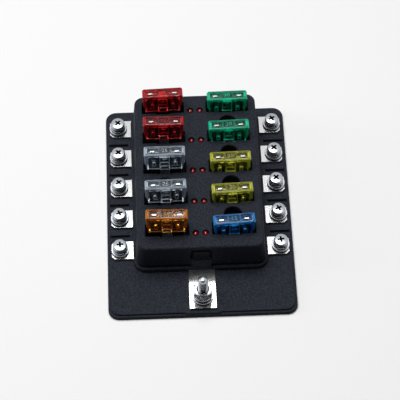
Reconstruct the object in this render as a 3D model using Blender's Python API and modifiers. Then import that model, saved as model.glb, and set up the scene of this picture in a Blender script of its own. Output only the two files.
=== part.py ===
"""Ten-way blade fuse block: a moulded base, a housing with two columns of five
fuse sockets, a row pair of indicator lamps between them, ten screw terminals
along the sides and one feed stud at the front.

Units are metres, +Z is up and the origin is at the middle of the base's
underside. The feed stud is at the front, towards -Y."""

import math

import bmesh
import bpy
from mathutils import Matrix, Vector

# Clearance between pieces that touch on the real block
GAP = 0.0003

# Base: a lower lip with an inset upper plate, and how far it reaches past the housing
TERMINAL_SHELF_WIDTH = 0.0121
FEED_SHELF_DEPTH = 0.0227
BACK_SHELF_DEPTH = 0.0035
BASE_THICKNESS = 0.0030
BASE_CORNER = 0.0050
LIP_HEIGHT = 0.0020
LIP_INSET = 0.0011
LIP_EDGE = 0.0004
TONGUE_WIDTH = 0.0160
DIVIDER_THICKNESS = 0.0010
DIVIDER_HEIGHT = 0.0011
DIVIDER_END_INSET = 0.0008
RAIL_THICKNESS = 0.0010
RAIL_HEIGHT = 0.0020

# Rows of fuses and terminals, row 1 at the back
ROWS = 5
ROW_PITCH = 0.0172
FRONT_ROW_MARGIN = 0.01165
BACK_ROW_MARGIN = 0.00835
LAMP_SETBACK = 0.0021

# Housing: a flange on the base, a narrow neck and the tapered body
HOUSING_TOP = 0.0212
SLOT_TO_FLANGE_EDGE = 0.0059
FLANGE_HEIGHT = 0.0024
FLANGE_CORNER = 0.0060
NECK_HEIGHT = 0.0014
NECK_INSET = 0.0024
BODY_INSET = 0.0012
BODY_SIDE_DRAFT = 0.0012
BODY_END_DRAFT = 0.0004
BODY_CORNER = 0.0040
BODY_EDGE_ROUND = 0.0010
SIDE_WALL = 0.0020
TOP_WALL = 0.0024
CELL_WALL = 0.0012
LOWER_CAVITY_HEIGHT = 0.0060

# Lamp channel, lamp board and its lamps
CHANNEL_WIDTH = 0.0094
CHANNEL_DEPTH = 0.0004
CHANNEL_END_MARGIN = 0.0022
CHANNEL_CORNER = 0.0018
LAMP_SPACING = 0.0046
LAMP_HOLE_DIAMETER = 0.0030
LAMP_DIAMETER = 0.0024
LAMP_RECESS = 0.0005
BOARD_WIDTH = 0.0073
BOARD_THICKNESS = 0.0012
BOARD_END_MARGIN = 0.0040

# Catch for a snap-on cover, in the front face
CATCH_WIDTH = 0.0100
CATCH_BELOW_TOP = 0.0024
CATCH_HEIGHT = 0.0070
CATCH_DEPTH = 0.0013
CATCH_SIDE_GAP = 0.0010
CATCH_NOSE_HEIGHT = 0.0052
BRIDGE_WIDTH = 0.0094
BRIDGE_BELOW_CATCH = 0.0010
BRIDGE_RELIEF = 0.0004

# Blade fuse, standard size
FUSE_WIDTH = 0.0191
FUSE_THICKNESS = 0.0051
FUSE_PLASTIC_HEIGHT = 0.0120
HEAD_HEIGHT = 0.0026
HEAD_CORNER = 0.0012
WAIST_SIDE_INSET = 0.0002
WAIST_FACE_INSET = 0.0005
WAIST_CHAMFER_X = 0.0014
WAIST_CHAMFER_Z = 0.0044
COLUMN_WIDTH = 0.0048
COLUMN_FACE_INSET = 0.00005
COLUMN_DROP = 0.0006
BLADE_SPACING = 0.0047
BLADE_SIDE_MARGIN = 0.0020
BLADE_THICKNESS = 0.00065
BLADE_LENGTH = 0.0070
BLADE_TIP_CHAMFER = 0.0008
BLADE_TOP_DEPTH = 0.0026
STAKE_DEPTH = 0.0071
STAKE_WIDTH = 0.0018
TEST_POINT_SHIFT = 0.00075
TEST_POINT_WIDTH = 0.0020
TEST_POINT_RECESS = 0.0006
LINK_WIDTH = 0.0009
LINK_FOOT_DEPTH = 0.0078
LINK_TOP_DEPTH = 0.0038

# Fuse sockets and how far each fuse stands above its seat, back row first
SLOT_FROM_CHANNEL = 0.0006
SLOT_SIDE_CLEARANCE = 0.00045
SLOT_FACE_CLEARANCE = 0.0006
NOTCH_WIDTH = 0.0066
NOTCH_DEPTH = 0.0006
FINGER_RADIUS = 0.0043
CELL_FRONT = 0.0043
SEAT_BELOW_TOP = 0.0044
LEFT_LIFT = (0.0047, 0.0060, 0.0064, 0.0046, 0.0062)
RIGHT_LIFT = (0.0011, 0.0015, 0.0004, 0.0, 0.0004)
LEFT_YAW_DEG = (1.8, -0.8, 0.0, 0.9, -1.5)
RIGHT_YAW_DEG = (0.8, 1.6, 1.1, 2.2, 3.0)

# Contact strips, their spring clips and the terminal tabs
STRIP_THICKNESS = 0.0012
STRIP_WIDTH = 0.0044
SPINE_WIDTH = 0.0070
CLIP_SIDE_INSET = 0.0004
CLIP_LEAF = 0.0008
CLIP_BELLY = 0.0012
CLIP_BELLY_HEIGHT = 0.0090
CLIP_PINCH_DROP = 0.0017
CLIP_MOUTH = 0.0015
CLIP_SEAT_CLEARANCE = 0.0004
TAB_WIDTH = 0.0094
TAB_END_MARGIN = 0.0021
TAB_CORNER = 0.0014
TAB_SHOULDER_INSET = 0.0056

# Terminal screws with their captive washers
SCREW_DIAMETER = 0.0040
SCREW_LENGTH = 0.0060
SCREW_HEAD_DIAMETER = 0.0064
SCREW_HEAD_HEIGHT = 0.0030
SCREW_HEAD_EDGE = 0.0009
WASHER_DIAMETER = 0.0084
WASHER_THICKNESS = 0.0008
SPRING_WASHER_DIAMETER = 0.0069
SPRING_WASHER_THICKNESS = 0.0010
SPRING_WASHER_SPLIT = 0.0007
SPLIT_SLANT = 0.6
TERMINAL_SPLIT_DEG = -60.0
FEED_SPLIT_DEG = -35.0

# Feed stud, its nut and its washers
STUD_FROM_EDGE = 0.0083
STUD_DIAMETER = 0.0048
STUD_TOP = 0.0206
STUD_HEAD_DIAMETER = 0.0100
STUD_HEAD_THICKNESS = 0.0014
STUD_DOME = 0.0011
FEED_TAB_WIDTH = 0.0121
FEED_TAB_END_MARGIN = 0.0023
FEED_WASHER_DIAMETER = 0.0098
FEED_WASHER_THICKNESS = 0.0010
FEED_SPRING_DIAMETER = 0.0084
FEED_SPRING_THICKNESS = 0.0012
NUT_ACROSS_FLATS = 0.0080
NUT_HEIGHT = 0.0040
NUT_EDGE = 0.0005

CORNER_STEPS = 4
ROUND_SEGMENTS = 12
SCREW_SEGMENTS = 10
WASHER_SEGMENTS = 8
SMALL_SEGMENTS = 8
FINGER_STEPS = 6
LINK_STEPS = 3
SMALL_CORNER_STEPS = 2
BODY_ROUND_STEPS = 3

# Fuse: its two blades fill the width between the side walls and the link
WAIST_WIDTH = FUSE_WIDTH - 2 * WAIST_SIDE_INSET
WAIST_THICKNESS = FUSE_THICKNESS - 2 * WAIST_FACE_INSET
COLUMN_THICKNESS = FUSE_THICKNESS - 2 * COLUMN_FACE_INSET
BLADE_WIDTH = (FUSE_WIDTH - BLADE_SPACING) / 2 - BLADE_SIDE_MARGIN
BLADE_OFFSET = (BLADE_SPACING + BLADE_WIDTH) / 2
TEST_POINT_X = BLADE_OFFSET + TEST_POINT_SHIFT
CLIP_WIDTH = BLADE_WIDTH - 2 * CLIP_SIDE_INSET

# The fuses and their rows give the housing its size, and the housing gives the base its size
SLOT_WIDTH = FUSE_WIDTH + 2 * SLOT_SIDE_CLEARANCE
SLOT_DEPTH = FUSE_THICKNESS + 2 * SLOT_FACE_CLEARANCE
FUSE_X = CHANNEL_WIDTH / 2 + SLOT_FROM_CHANNEL + SLOT_WIDTH / 2
FLANGE_WIDTH = 2 * (FUSE_X + SLOT_WIDTH / 2 + SLOT_TO_FLANGE_EDGE)
FLANGE_DEPTH = (ROWS - 1) * ROW_PITCH + FRONT_ROW_MARGIN + BACK_ROW_MARGIN
BASE_WIDTH = FLANGE_WIDTH + 2 * TERMINAL_SHELF_WIDTH
BASE_DEPTH = FLANGE_DEPTH + FEED_SHELF_DEPTH + BACK_SHELF_DEPTH
HOUSING_FRONT_Y = -BASE_DEPTH / 2 + FEED_SHELF_DEPTH
HOUSING_CENTRE_Y = HOUSING_FRONT_Y + FLANGE_DEPTH / 2
MIDDLE_ROW_Y = HOUSING_FRONT_Y + FRONT_ROW_MARGIN + (ROWS - 1) / 2 * ROW_PITCH
SCREW_X = (FLANGE_WIDTH + BASE_WIDTH) / 4
STUD_Y = -BASE_DEPTH / 2 + STUD_FROM_EDGE
FEED_TAB_FRONT_Y = -BASE_DEPTH / 2 + FEED_TAB_END_MARGIN

# Heights and places worked out from the sizes above
FLANGE_BOTTOM = BASE_THICKNESS + GAP
FLANGE_TOP = FLANGE_BOTTOM + FLANGE_HEIGHT
NECK_TOP = FLANGE_TOP + NECK_HEIGHT
NECK_WIDTH = FLANGE_WIDTH - 2 * NECK_INSET
NECK_DEPTH = FLANGE_DEPTH - 2 * NECK_INSET
BODY_WIDTH = FLANGE_WIDTH - 2 * BODY_INSET
BODY_DEPTH = FLANGE_DEPTH - 2 * BODY_INSET
CAVITY_WIDTH = NECK_WIDTH - 2 * SIDE_WALL
CAVITY_DEPTH = NECK_DEPTH - 2 * SIDE_WALL
CAVITY_FRONT_Y = HOUSING_CENTRE_Y - CAVITY_DEPTH / 2
CAVITY_BACK_Y = HOUSING_CENTRE_Y + CAVITY_DEPTH / 2
CAVITY_TOP = FLANGE_BOTTOM + LOWER_CAVITY_HEIGHT
CEILING = HOUSING_TOP - TOP_WALL
CATCH_HIGH = HOUSING_TOP - CATCH_BELOW_TOP
CATCH_LOW = CATCH_HIGH - CATCH_HEIGHT
BRIDGE_TOP = CATCH_LOW - BRIDGE_BELOW_CATCH
FINGER_REACH = ROW_PITCH - CELL_FRONT - CELL_WALL
SEAT_HEIGHT = HOUSING_TOP - SEAT_BELOW_TOP
BODY_FRONT_Y = HOUSING_CENTRE_Y - BODY_DEPTH / 2

STRIP_BOTTOM = BASE_THICKNESS + GAP
STRIP_TOP = STRIP_BOTTOM + STRIP_THICKNESS
TAB_SHOULDER_X = FLANGE_WIDTH / 2 - TAB_SHOULDER_INSET
CLIP_TOP = SEAT_HEIGHT - CLIP_SEAT_CLEARANCE
BOARD_POCKET_WIDTH = BOARD_WIDTH + 2 * GAP
CELL_INNER_X = BOARD_POCKET_WIDTH / 2 + CELL_WALL
CELL_OUTER_X = CAVITY_WIDTH / 2

WASHER_BOTTOM = STRIP_TOP + GAP
WASHER_TOP = WASHER_BOTTOM + WASHER_THICKNESS + SPRING_WASHER_THICKNESS
SCREW_HEAD_BOTTOM = WASHER_TOP + GAP
FEED_WASHER_BOTTOM = STRIP_TOP + GAP
FEED_SPRING_BOTTOM = FEED_WASHER_BOTTOM + FEED_WASHER_THICKNESS + GAP
NUT_BOTTOM = FEED_SPRING_BOTTOM + FEED_SPRING_THICKNESS + GAP

SIDES = (("left", -1), ("right", 1))
COLOURS = {
    "charcoal": ((0.020, 0.021, 0.025), 0.55, 0.0),
    "tinned": ((0.72, 0.72, 0.72), 0.32, 1.0),
    "zinc": ((0.62, 0.63, 0.65), 0.30, 1.0),
    "board": ((0.45, 0.02, 0.02), 0.45, 0.0),
    "fuse_metal": ((0.66, 0.66, 0.64), 0.35, 1.0),
    "red": ((0.78, 0.02, 0.03), 0.25, 0.0),
    "clear": ((0.62, 0.64, 0.66), 0.20, 0.0),
    "orange": ((0.85, 0.34, 0.02), 0.25, 0.0),
    "green": ((0.02, 0.50, 0.24), 0.25, 0.0),
    "yellow": ((0.72, 0.66, 0.05), 0.25, 0.0),
    "blue": ((0.03, 0.30, 0.72), 0.25, 0.0),
}
FUSE_COLOURS = {
    "left": ("red", "red", "clear", "clear", "orange"),
    "right": ("green", "green", "yellow", "yellow", "blue"),
}
LIFTS = {"left": LEFT_LIFT, "right": RIGHT_LIFT}
YAWS = {"left": LEFT_YAW_DEG, "right": RIGHT_YAW_DEG}


def row_y(row):
    """Y of a row's centre line; row 1 is the one at the back."""
    return MIDDLE_ROW_Y + ((ROWS + 1) / 2 - row) * ROW_PITCH


def fuse_yaw(side, row):
    return math.radians(YAWS[side][row - 1])


def clear_scene():
    for item in list(bpy.data.objects):
        bpy.data.objects.remove(item, do_unlink=True)


def make_collection(name):
    collection = bpy.data.collections.new(name)
    bpy.context.scene.collection.children.link(collection)
    return collection


def make_material(name):
    colour, roughness, metallic = COLOURS[name]
    material = bpy.data.materials.new(name)
    material.use_nodes = True
    shader = material.node_tree.nodes["Principled BSDF"]
    shader.inputs["Base Color"].default_value = (*colour, 1.0)
    shader.inputs["Roughness"].default_value = roughness
    shader.inputs["Metallic"].default_value = metallic
    return material


clear_scene()
PARTS = make_collection("blade_fuse_block")
CUTTERS = make_collection("cutters")
MATERIALS = {name: make_material(name) for name in COLOURS}


def add_part(name, mesh, material, location=(0.0, 0.0, 0.0), parent=None):
    part = bpy.data.objects.new(name, mesh)
    part.location = location
    part.parent = parent
    if not mesh.materials:
        mesh.materials.append(MATERIALS[material])
    PARTS.objects.link(part)
    return part


def add_tool(name, mesh):
    """A mesh that only shapes another object."""
    tool = bpy.data.objects.new(name, mesh)
    tool.display_type = "WIRE"
    tool.hide_render = True
    CUTTERS.objects.link(tool)
    return tool


def add_axis(name, location, turn=0.0):
    """An empty on a moving piece's axis, which carries that piece."""
    axis = bpy.data.objects.new(name, None)
    axis.empty_display_size = 0.004
    axis.location = location
    axis.rotation_euler = (0.0, 0.0, turn)
    PARTS.objects.link(axis)
    return axis


def combine(target, name, mesh, operation):
    modifier = target.modifiers.new(name, "BOOLEAN")
    modifier.operation = operation
    modifier.solver = "EXACT"
    modifier.object = add_tool(f"{target.name}_{name}", mesh)


def cut(target, name, mesh):
    combine(target, name, mesh, "DIFFERENCE")


def fuse_on(target, name, mesh):
    combine(target, name, mesh, "UNION")


def baked(target):
    """The mesh of an object with its modifiers, for copies to share."""
    bpy.context.view_layer.update()
    graph = bpy.context.evaluated_depsgraph_get()
    return bpy.data.meshes.new_from_object(target.evaluated_get(graph))


def to_mesh(builder, name):
    mesh = bpy.data.meshes.new(name)
    bmesh.ops.recalc_face_normals(builder, faces=builder.faces)
    builder.to_mesh(mesh)
    builder.free()
    return mesh


def merged(name, meshes):
    """Several separate closed meshes as one, for a shared cutter."""
    builder = bmesh.new()
    for mesh in meshes:
        builder.from_mesh(mesh)
    return to_mesh(builder, name)


def box(name, x_range, y_range, z_range):
    low = Vector((x_range[0], y_range[0], z_range[0]))
    high = Vector((x_range[1], y_range[1], z_range[1]))
    builder = bmesh.new()
    bmesh.ops.create_cube(builder, size=1.0)
    bmesh.ops.scale(builder, vec=high - low, verts=builder.verts)
    bmesh.ops.translate(builder, vec=(low + high) / 2, verts=builder.verts)
    return to_mesh(builder, name)


def cylinder(name, diameter, z_range, centre=(0.0, 0.0), segments=ROUND_SEGMENTS, turn=0.0):
    height = z_range[1] - z_range[0]
    place = Matrix.Translation((*centre, (z_range[0] + z_range[1]) / 2)) @ Matrix.Rotation(turn, 4, "Z")
    builder = bmesh.new()
    bmesh.ops.create_cone(
        builder, cap_ends=True, segments=segments, radius1=diameter / 2, radius2=diameter / 2,
        depth=height, matrix=place)
    return to_mesh(builder, name)


def rounded_block(name, size, z_range, corner, centre_y=0.0, draft=(0.0, 0.0), edge=0.0, edge_segments=1):
    """A block with round upright corners, a draft inwards in X and in Y, and a soft top edge."""
    low, high = z_range
    builder = bmesh.new()
    bmesh.ops.create_cube(builder, size=1.0)
    bmesh.ops.scale(builder, vec=(size[0], size[1], high - low), verts=builder.verts)
    bmesh.ops.translate(builder, vec=(0.0, centre_y, (low + high) / 2), verts=builder.verts)
    middle = (low + high) / 2
    top = [vert for vert in builder.verts if vert.co.z > middle]
    for vert in top:
        vert.co.x -= math.copysign(draft[0], vert.co.x)
        vert.co.y -= math.copysign(draft[1], vert.co.y - centre_y)
    upright = [e for e in builder.edges if abs(e.verts[0].co.z - e.verts[1].co.z) > middle - low]
    bmesh.ops.bevel(
        builder, geom=upright, offset=corner, segments=CORNER_STEPS, profile=0.5, affect="EDGES",
        clamp_overlap=True)
    if edge > 0.0:
        rim = [e for e in builder.edges if all(v.co.z > high - edge / 100 for v in e.verts)]
        bmesh.ops.bevel(
            builder, geom=rim, offset=edge, segments=edge_segments, profile=0.5, affect="EDGES",
            clamp_overlap=True)
    return to_mesh(builder, name)


def plate(name, outlines, thickness, matrix=Matrix.Identity(4)):
    """A flat piece from closed 2D outlines, centred on its plane; inner outlines are holes."""
    curve = bpy.data.curves.new(name, "CURVE")
    curve.dimensions = "2D"
    curve.fill_mode = "BOTH"
    curve.extrude = thickness / 2
    for outline in outlines:
        spline = curve.splines.new("POLY")
        spline.points.add(len(outline) - 1)
        for point, (x, y) in zip(spline.points, outline):
            point.co = (x, y, 0.0, 1.0)
        spline.use_cyclic_u = True
    holder = bpy.data.objects.new(name, curve)
    bpy.context.scene.collection.objects.link(holder)
    mesh = baked(holder)
    bpy.data.objects.remove(holder, do_unlink=True)
    builder = bmesh.new()
    builder.from_mesh(mesh)
    bmesh.ops.remove_doubles(builder, verts=builder.verts, dist=0.000001)
    bmesh.ops.transform(builder, matrix=matrix, verts=builder.verts)
    return to_mesh(builder, name)


def turned(name, profile, segments=ROUND_SEGMENTS, closed=False):
    """A solid of revolution about Z from (radius, height) points, outer side downwards."""
    mesh = bpy.data.meshes.new(name)
    points = [(radius, 0.0, height) for radius, height in profile]
    edges = [(i, i + 1) for i in range(len(points) - 1)]
    if closed:
        edges.append((len(points) - 1, 0))
    mesh.from_pydata(points, edges, [])
    holder = bpy.data.objects.new(name, mesh)
    bpy.context.scene.collection.objects.link(holder)
    spin = holder.modifiers.new("spin", "SCREW")
    spin.angle = math.tau
    spin.steps = segments
    spin.render_steps = segments
    spin.use_merge_vertices = True
    spin.merge_threshold = 0.00001
    result = baked(holder)
    bpy.data.objects.remove(holder, do_unlink=True)
    builder = bmesh.new()
    builder.from_mesh(result)
    bmesh.ops.remove_doubles(builder, verts=builder.verts, dist=0.000001)
    return to_mesh(builder, name)


def arc(centre, radius, start_deg, end_deg, steps):
    angles = [math.radians(start_deg + (end_deg - start_deg) * i / steps) for i in range(steps + 1)]
    return [(centre[0] + radius * math.cos(a), centre[1] + radius * math.sin(a)) for a in angles]


def smooth(mesh):
    mesh.shade_smooth()
    mesh.set_sharp_from_angle(angle=math.radians(35.0))
    return mesh


# Base: lip, upper plate with its tongue, terminal dividers and locating rail
def rail_outline(inset):
    half_x = CAVITY_WIDTH / 2 - GAP - inset
    front = CAVITY_FRONT_Y + GAP + inset
    back = CAVITY_BACK_Y - GAP - inset
    return [(-half_x, front), (half_x, front), (half_x, back), (-half_x, back)]


def make_base():
    lip = rounded_block(
        "base_lip", (BASE_WIDTH, BASE_DEPTH), (0.0, LIP_HEIGHT), BASE_CORNER, edge=LIP_EDGE)
    base = add_part("base", lip, "charcoal")
    upper = rounded_block(
        "upper", (BASE_WIDTH - 2 * LIP_INSET, BASE_DEPTH - 2 * LIP_INSET),
        (LIP_HEIGHT / 2, BASE_THICKNESS), BASE_CORNER - LIP_INSET / 2)
    fuse_on(base, "upper", upper)
    front = -BASE_DEPTH / 2
    tongue = box(
        "tongue", (-TONGUE_WIDTH / 2, TONGUE_WIDTH / 2), (front + LIP_EDGE, front + BASE_CORNER),
        (LIP_HEIGHT / 2, BASE_THICKNESS - LIP_EDGE / 4))
    fuse_on(base, "tongue", tongue)

    dividers = []
    outer = BASE_WIDTH / 2 - LIP_INSET - DIVIDER_END_INSET
    inner = FLANGE_WIDTH / 2 + 2 * DIVIDER_END_INSET
    for row in range(1, ROWS):
        y = row_y(row) - ROW_PITCH / 2
        for _, sign in SIDES:
            x_range = sorted((sign * inner, sign * outer))
            y_range = (y - DIVIDER_THICKNESS / 2, y + DIVIDER_THICKNESS / 2)
            z_range = (LIP_HEIGHT, BASE_THICKNESS + DIVIDER_HEIGHT)
            dividers.append(box("divider", x_range, y_range, z_range))
    fuse_on(base, "dividers", merged("dividers", dividers))

    rail_middle = (LIP_HEIGHT + BASE_THICKNESS + RAIL_HEIGHT) / 2
    rail = plate(
        "rail", [rail_outline(0.0), rail_outline(RAIL_THICKNESS)],
        BASE_THICKNESS + RAIL_HEIGHT - LIP_HEIGHT, Matrix.Translation((0.0, 0.0, rail_middle)))
    fuse_on(base, "rail", rail)

    # The rail is open where each terminal strip and the feed strip pass
    openings = []
    passage = TAB_WIDTH / 2 + 2 * GAP
    for row in range(1, ROWS + 1):
        for _, sign in SIDES:
            x_range = sorted((sign * (CAVITY_WIDTH / 2 - 2 * RAIL_THICKNESS), sign * CAVITY_WIDTH / 2))
            y_range = (row_y(row) - passage, row_y(row) + passage)
            openings.append(box("opening", x_range, y_range, (BASE_THICKNESS, CAVITY_TOP)))
    feed_passage = FEED_TAB_WIDTH / 2 + 2 * GAP
    openings.append(box(
        "opening", (-feed_passage, feed_passage),
        (CAVITY_FRONT_Y - GAP, CAVITY_FRONT_Y + 2 * RAIL_THICKNESS), (BASE_THICKNESS, CAVITY_TOP)))
    cut(base, "rail_openings", merged("rail_openings", openings))

    holes = []
    screw_floor = SCREW_HEAD_BOTTOM - SCREW_LENGTH - GAP
    for row in range(1, ROWS + 1):
        for _, sign in SIDES:
            holes.append(cylinder(
                "screw_hole", SCREW_DIAMETER + 2 * GAP, (screw_floor, CAVITY_TOP),
                (sign * SCREW_X, row_y(row)), SMALL_SEGMENTS))
    holes.append(cylinder(
        "stud_pocket", STUD_HEAD_DIAMETER + 2 * GAP,
        (BASE_THICKNESS - STUD_HEAD_THICKNESS - GAP, CAVITY_TOP), (0.0, STUD_Y)))
    cut(base, "holes", merged("holes", holes))


# Housing: outside
def make_housing():
    flange = rounded_block(
        "housing_flange", (FLANGE_WIDTH, FLANGE_DEPTH), (FLANGE_BOTTOM, FLANGE_TOP), FLANGE_CORNER,
        HOUSING_CENTRE_Y, edge=LIP_EDGE)
    housing = add_part("housing", flange, "charcoal")
    overlap = NECK_HEIGHT / 2
    neck = rounded_block(
        "neck", (NECK_WIDTH, NECK_DEPTH), (FLANGE_TOP - overlap, NECK_TOP + overlap),
        FLANGE_CORNER - NECK_INSET, HOUSING_CENTRE_Y)
    fuse_on(housing, "neck", neck)
    body = rounded_block(
        "body", (BODY_WIDTH, BODY_DEPTH), (NECK_TOP, HOUSING_TOP), BODY_CORNER, HOUSING_CENTRE_Y,
        (BODY_SIDE_DRAFT, BODY_END_DRAFT), BODY_EDGE_ROUND, BODY_ROUND_STEPS)
    fuse_on(housing, "body", body)
    add_catch(housing)
    hollow_housing(housing)
    open_sockets(housing)
    open_lamp_channel(housing)


def add_catch(housing):
    """The front catch for a cover: a pocket with a nose, and the web below it."""
    half = CATCH_WIDTH / 2
    pocket = box(
        "catch_pocket", (-half, half), (HOUSING_FRONT_Y, BODY_FRONT_Y + BODY_END_DRAFT / 2 + CATCH_DEPTH),
        (CATCH_LOW, CATCH_HIGH))
    cut(housing, "catch_pocket", pocket)
    nose_half = half - CATCH_SIDE_GAP
    nose = box(
        "catch_nose", (-nose_half, nose_half),
        (BODY_FRONT_Y + BODY_END_DRAFT / 2 + BRIDGE_RELIEF, BODY_FRONT_Y + CATCH_DEPTH + SIDE_WALL),
        (CATCH_LOW - BRIDGE_RELIEF, CATCH_LOW + CATCH_NOSE_HEIGHT))
    fuse_on(housing, "catch_nose", nose)
    web = box(
        "web", (-BRIDGE_WIDTH / 2, BRIDGE_WIDTH / 2),
        (HOUSING_FRONT_Y + BRIDGE_RELIEF, BODY_FRONT_Y + SIDE_WALL),
        (FLANGE_TOP - LIP_EDGE, BRIDGE_TOP))
    fuse_on(housing, "web", web)


def hollow_housing(housing):
    """One low cavity over the contact strips, a cell below each socket and the lamp board's pocket."""
    cavity = box(
        "cavity", (-CAVITY_WIDTH / 2, CAVITY_WIDTH / 2), (CAVITY_FRONT_Y, CAVITY_BACK_Y),
        (FLANGE_BOTTOM - GAP, CAVITY_TOP))
    cut(housing, "cavity", cavity)

    cells = []
    for row in range(1, ROWS + 1):
        front = row_y(row) - CELL_FRONT
        back = min(row_y(row) + FINGER_REACH, CAVITY_BACK_Y)
        for _, sign in SIDES:
            x_range = sorted((sign * CELL_INNER_X, sign * CELL_OUTER_X))
            cells.append(box("cell", x_range, (front, back), (CAVITY_TOP - GAP, CEILING)))
    cut(housing, "cells", merged("cells", cells))

    half = BOARD_POCKET_WIDTH / 2
    pocket = box(
        "board_pocket", (-half, half), (CAVITY_FRONT_Y, CAVITY_BACK_Y), (CAVITY_TOP - GAP, CEILING))
    cut(housing, "board_pocket", pocket)

    # Passages through the flange for the ten terminal strips and the feed strip
    passages = []
    z_range = (FLANGE_BOTTOM - GAP, STRIP_TOP + GAP)
    for row in range(1, ROWS + 1):
        y_range = (row_y(row) - TAB_WIDTH / 2 - GAP, row_y(row) + TAB_WIDTH / 2 + GAP)
        for _, sign in SIDES:
            x_range = sorted((sign * (TAB_SHOULDER_X - GAP), sign * (FLANGE_WIDTH / 2 + GAP)))
            passages.append(box("passage", x_range, y_range, z_range))
    half = FEED_TAB_WIDTH / 2 + GAP
    passages.append(box(
        "passage", (-half, half), (HOUSING_FRONT_Y - GAP, CAVITY_FRONT_Y + GAP), z_range))
    cut(housing, "passages", merged("passages", passages))


def socket_outline(row):
    """Slot with a front notch and, behind all but the back row, a round finger recess."""
    half_x = SLOT_WIDTH / 2
    half_y = SLOT_DEPTH / 2
    outline = [
        (-half_x, -half_y),
        (-NOTCH_WIDTH / 2, -half_y),
        (-NOTCH_WIDTH / 2, -half_y - NOTCH_DEPTH),
        (NOTCH_WIDTH / 2, -half_y - NOTCH_DEPTH),
        (NOTCH_WIDTH / 2, -half_y),
        (half_x, -half_y),
        (half_x, half_y),
    ]
    if row > 1:
        centre = (0.0, FINGER_REACH - FINGER_RADIUS)
        outline.append((FINGER_RADIUS, half_y))
        outline += arc(centre, FINGER_RADIUS, 0.0, 180.0, FINGER_STEPS)
        outline.append((-FINGER_RADIUS, half_y))
    outline.append((-half_x, half_y))
    return outline


def open_sockets(housing):
    sockets = []
    depth = 2 * TOP_WALL
    for row in range(1, ROWS + 1):
        for side, sign in SIDES:
            place = Matrix.Translation((sign * FUSE_X, row_y(row), HOUSING_TOP))
            sockets.append(plate(f"socket_{side}_{row}", [socket_outline(row)], depth + GAP, place))
    cut(housing, "sockets", merged("sockets", sockets))


def open_lamp_channel(housing):
    half = CHANNEL_WIDTH / 2
    front = BODY_FRONT_Y + BODY_END_DRAFT + CHANNEL_END_MARGIN
    back = HOUSING_CENTRE_Y + BODY_DEPTH / 2
    outline = [(half, back), (-half, back)]
    corner_y = front + CHANNEL_CORNER
    for corner_x, start in ((-half + CHANNEL_CORNER, 180.0), (half - CHANNEL_CORNER, 270.0)):
        outline += arc((corner_x, corner_y), CHANNEL_CORNER, start, start + 90.0, SMALL_CORNER_STEPS)
    place = Matrix.Translation((0.0, 0.0, HOUSING_TOP))
    cut(housing, "lamp_channel", plate("lamp_channel", [outline], 2 * CHANNEL_DEPTH, place))

    holes = [
        cylinder("lamp_hole", LAMP_HOLE_DIAMETER, (CEILING - GAP, HOUSING_TOP + GAP), centre,
                 SMALL_SEGMENTS)
        for centre in lamp_centres()]
    cut(housing, "lamp_holes", merged("lamp_holes", holes))


def lamp_centres():
    return [
        (sign * LAMP_SPACING / 2, row_y(row) - LAMP_SETBACK)
        for row in range(1, ROWS + 1) for _, sign in SIDES]


# Lamp board under the channel, with its ten lamps
def make_lamp_board():
    board_top = CEILING - GAP
    board_bottom = board_top - BOARD_THICKNESS
    board = add_part("lamp_board", box(
        "lamp_board", (-BOARD_WIDTH / 2, BOARD_WIDTH / 2),
        (row_y(ROWS) - LAMP_SETBACK - BOARD_END_MARGIN, row_y(1) + BOARD_END_MARGIN - GAP),
        (board_bottom, board_top)), "board")
    tip = HOUSING_TOP - CHANNEL_DEPTH - LAMP_RECESS
    radius = LAMP_DIAMETER / 2
    shoulder = tip - radius * 0.7
    profile = [(0.0, tip), (radius * 0.65, tip - radius * 0.22), (radius, shoulder)]
    profile += [(radius, board_bottom + GAP), (0.0, board_bottom + GAP)]
    lamp = turned("lamp", profile, SMALL_SEGMENTS)
    lamps = []
    for x, y in lamp_centres():
        copy = lamp.copy()
        copy.transform(Matrix.Translation((x, y, 0.0)))
        lamps.append(copy)
    fuse_on(board, "lamps", merged("lamps", lamps))


# Contact strips: a spring clip, the outer strips with their tabs and the inner bus bar
def clip_outline():
    """Side view of a clip that grips a blade: foot, belly, pinch and flared mouth."""
    pinch = BLADE_THICKNESS / 2 + GAP
    pinch_height = CLIP_TOP - CLIP_PINCH_DROP
    foot = STRIP_BOTTOM + STRIP_THICKNESS / 2
    outer = [
        (CLIP_BELLY + CLIP_LEAF, foot),
        (CLIP_BELLY + CLIP_LEAF, CLIP_BELLY_HEIGHT),
        (pinch + CLIP_LEAF, pinch_height),
        (CLIP_MOUTH + CLIP_LEAF, CLIP_TOP),
    ]
    inner = [
        (CLIP_MOUTH, CLIP_TOP),
        (pinch, pinch_height),
        (CLIP_BELLY, CLIP_BELLY_HEIGHT),
        (CLIP_BELLY, STRIP_TOP - STRIP_THICKNESS / 4),
    ]
    right = outer + inner
    left = [(-y, z) for y, z in reversed(right)]
    return right + left


def clip_mesh(sign_x, yaw):
    """A clip in its fuse's own frame, turned with the fuse whose blade it holds."""
    stand_up = Matrix.Rotation(math.pi / 2, 4, "Z") @ Matrix.Rotation(math.pi / 2, 4, "X")
    place = Matrix.Rotation(yaw, 4, "Z") @ Matrix.Translation((sign_x * BLADE_OFFSET, 0.0, 0.0))
    return plate("clip", [clip_outline()], CLIP_WIDTH, place @ stand_up)


def circle(centre, diameter, steps=ROUND_SEGMENTS):
    return arc(centre, diameter / 2, 0.0, 360.0 * (steps - 1) / steps, steps - 1)


def square(centre, width):
    half = width / 2
    corners = ((-half, -half), (half, -half), (half, half), (-half, half))
    return [(centre[0] + x, centre[1] + y) for x, y in corners]


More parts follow.
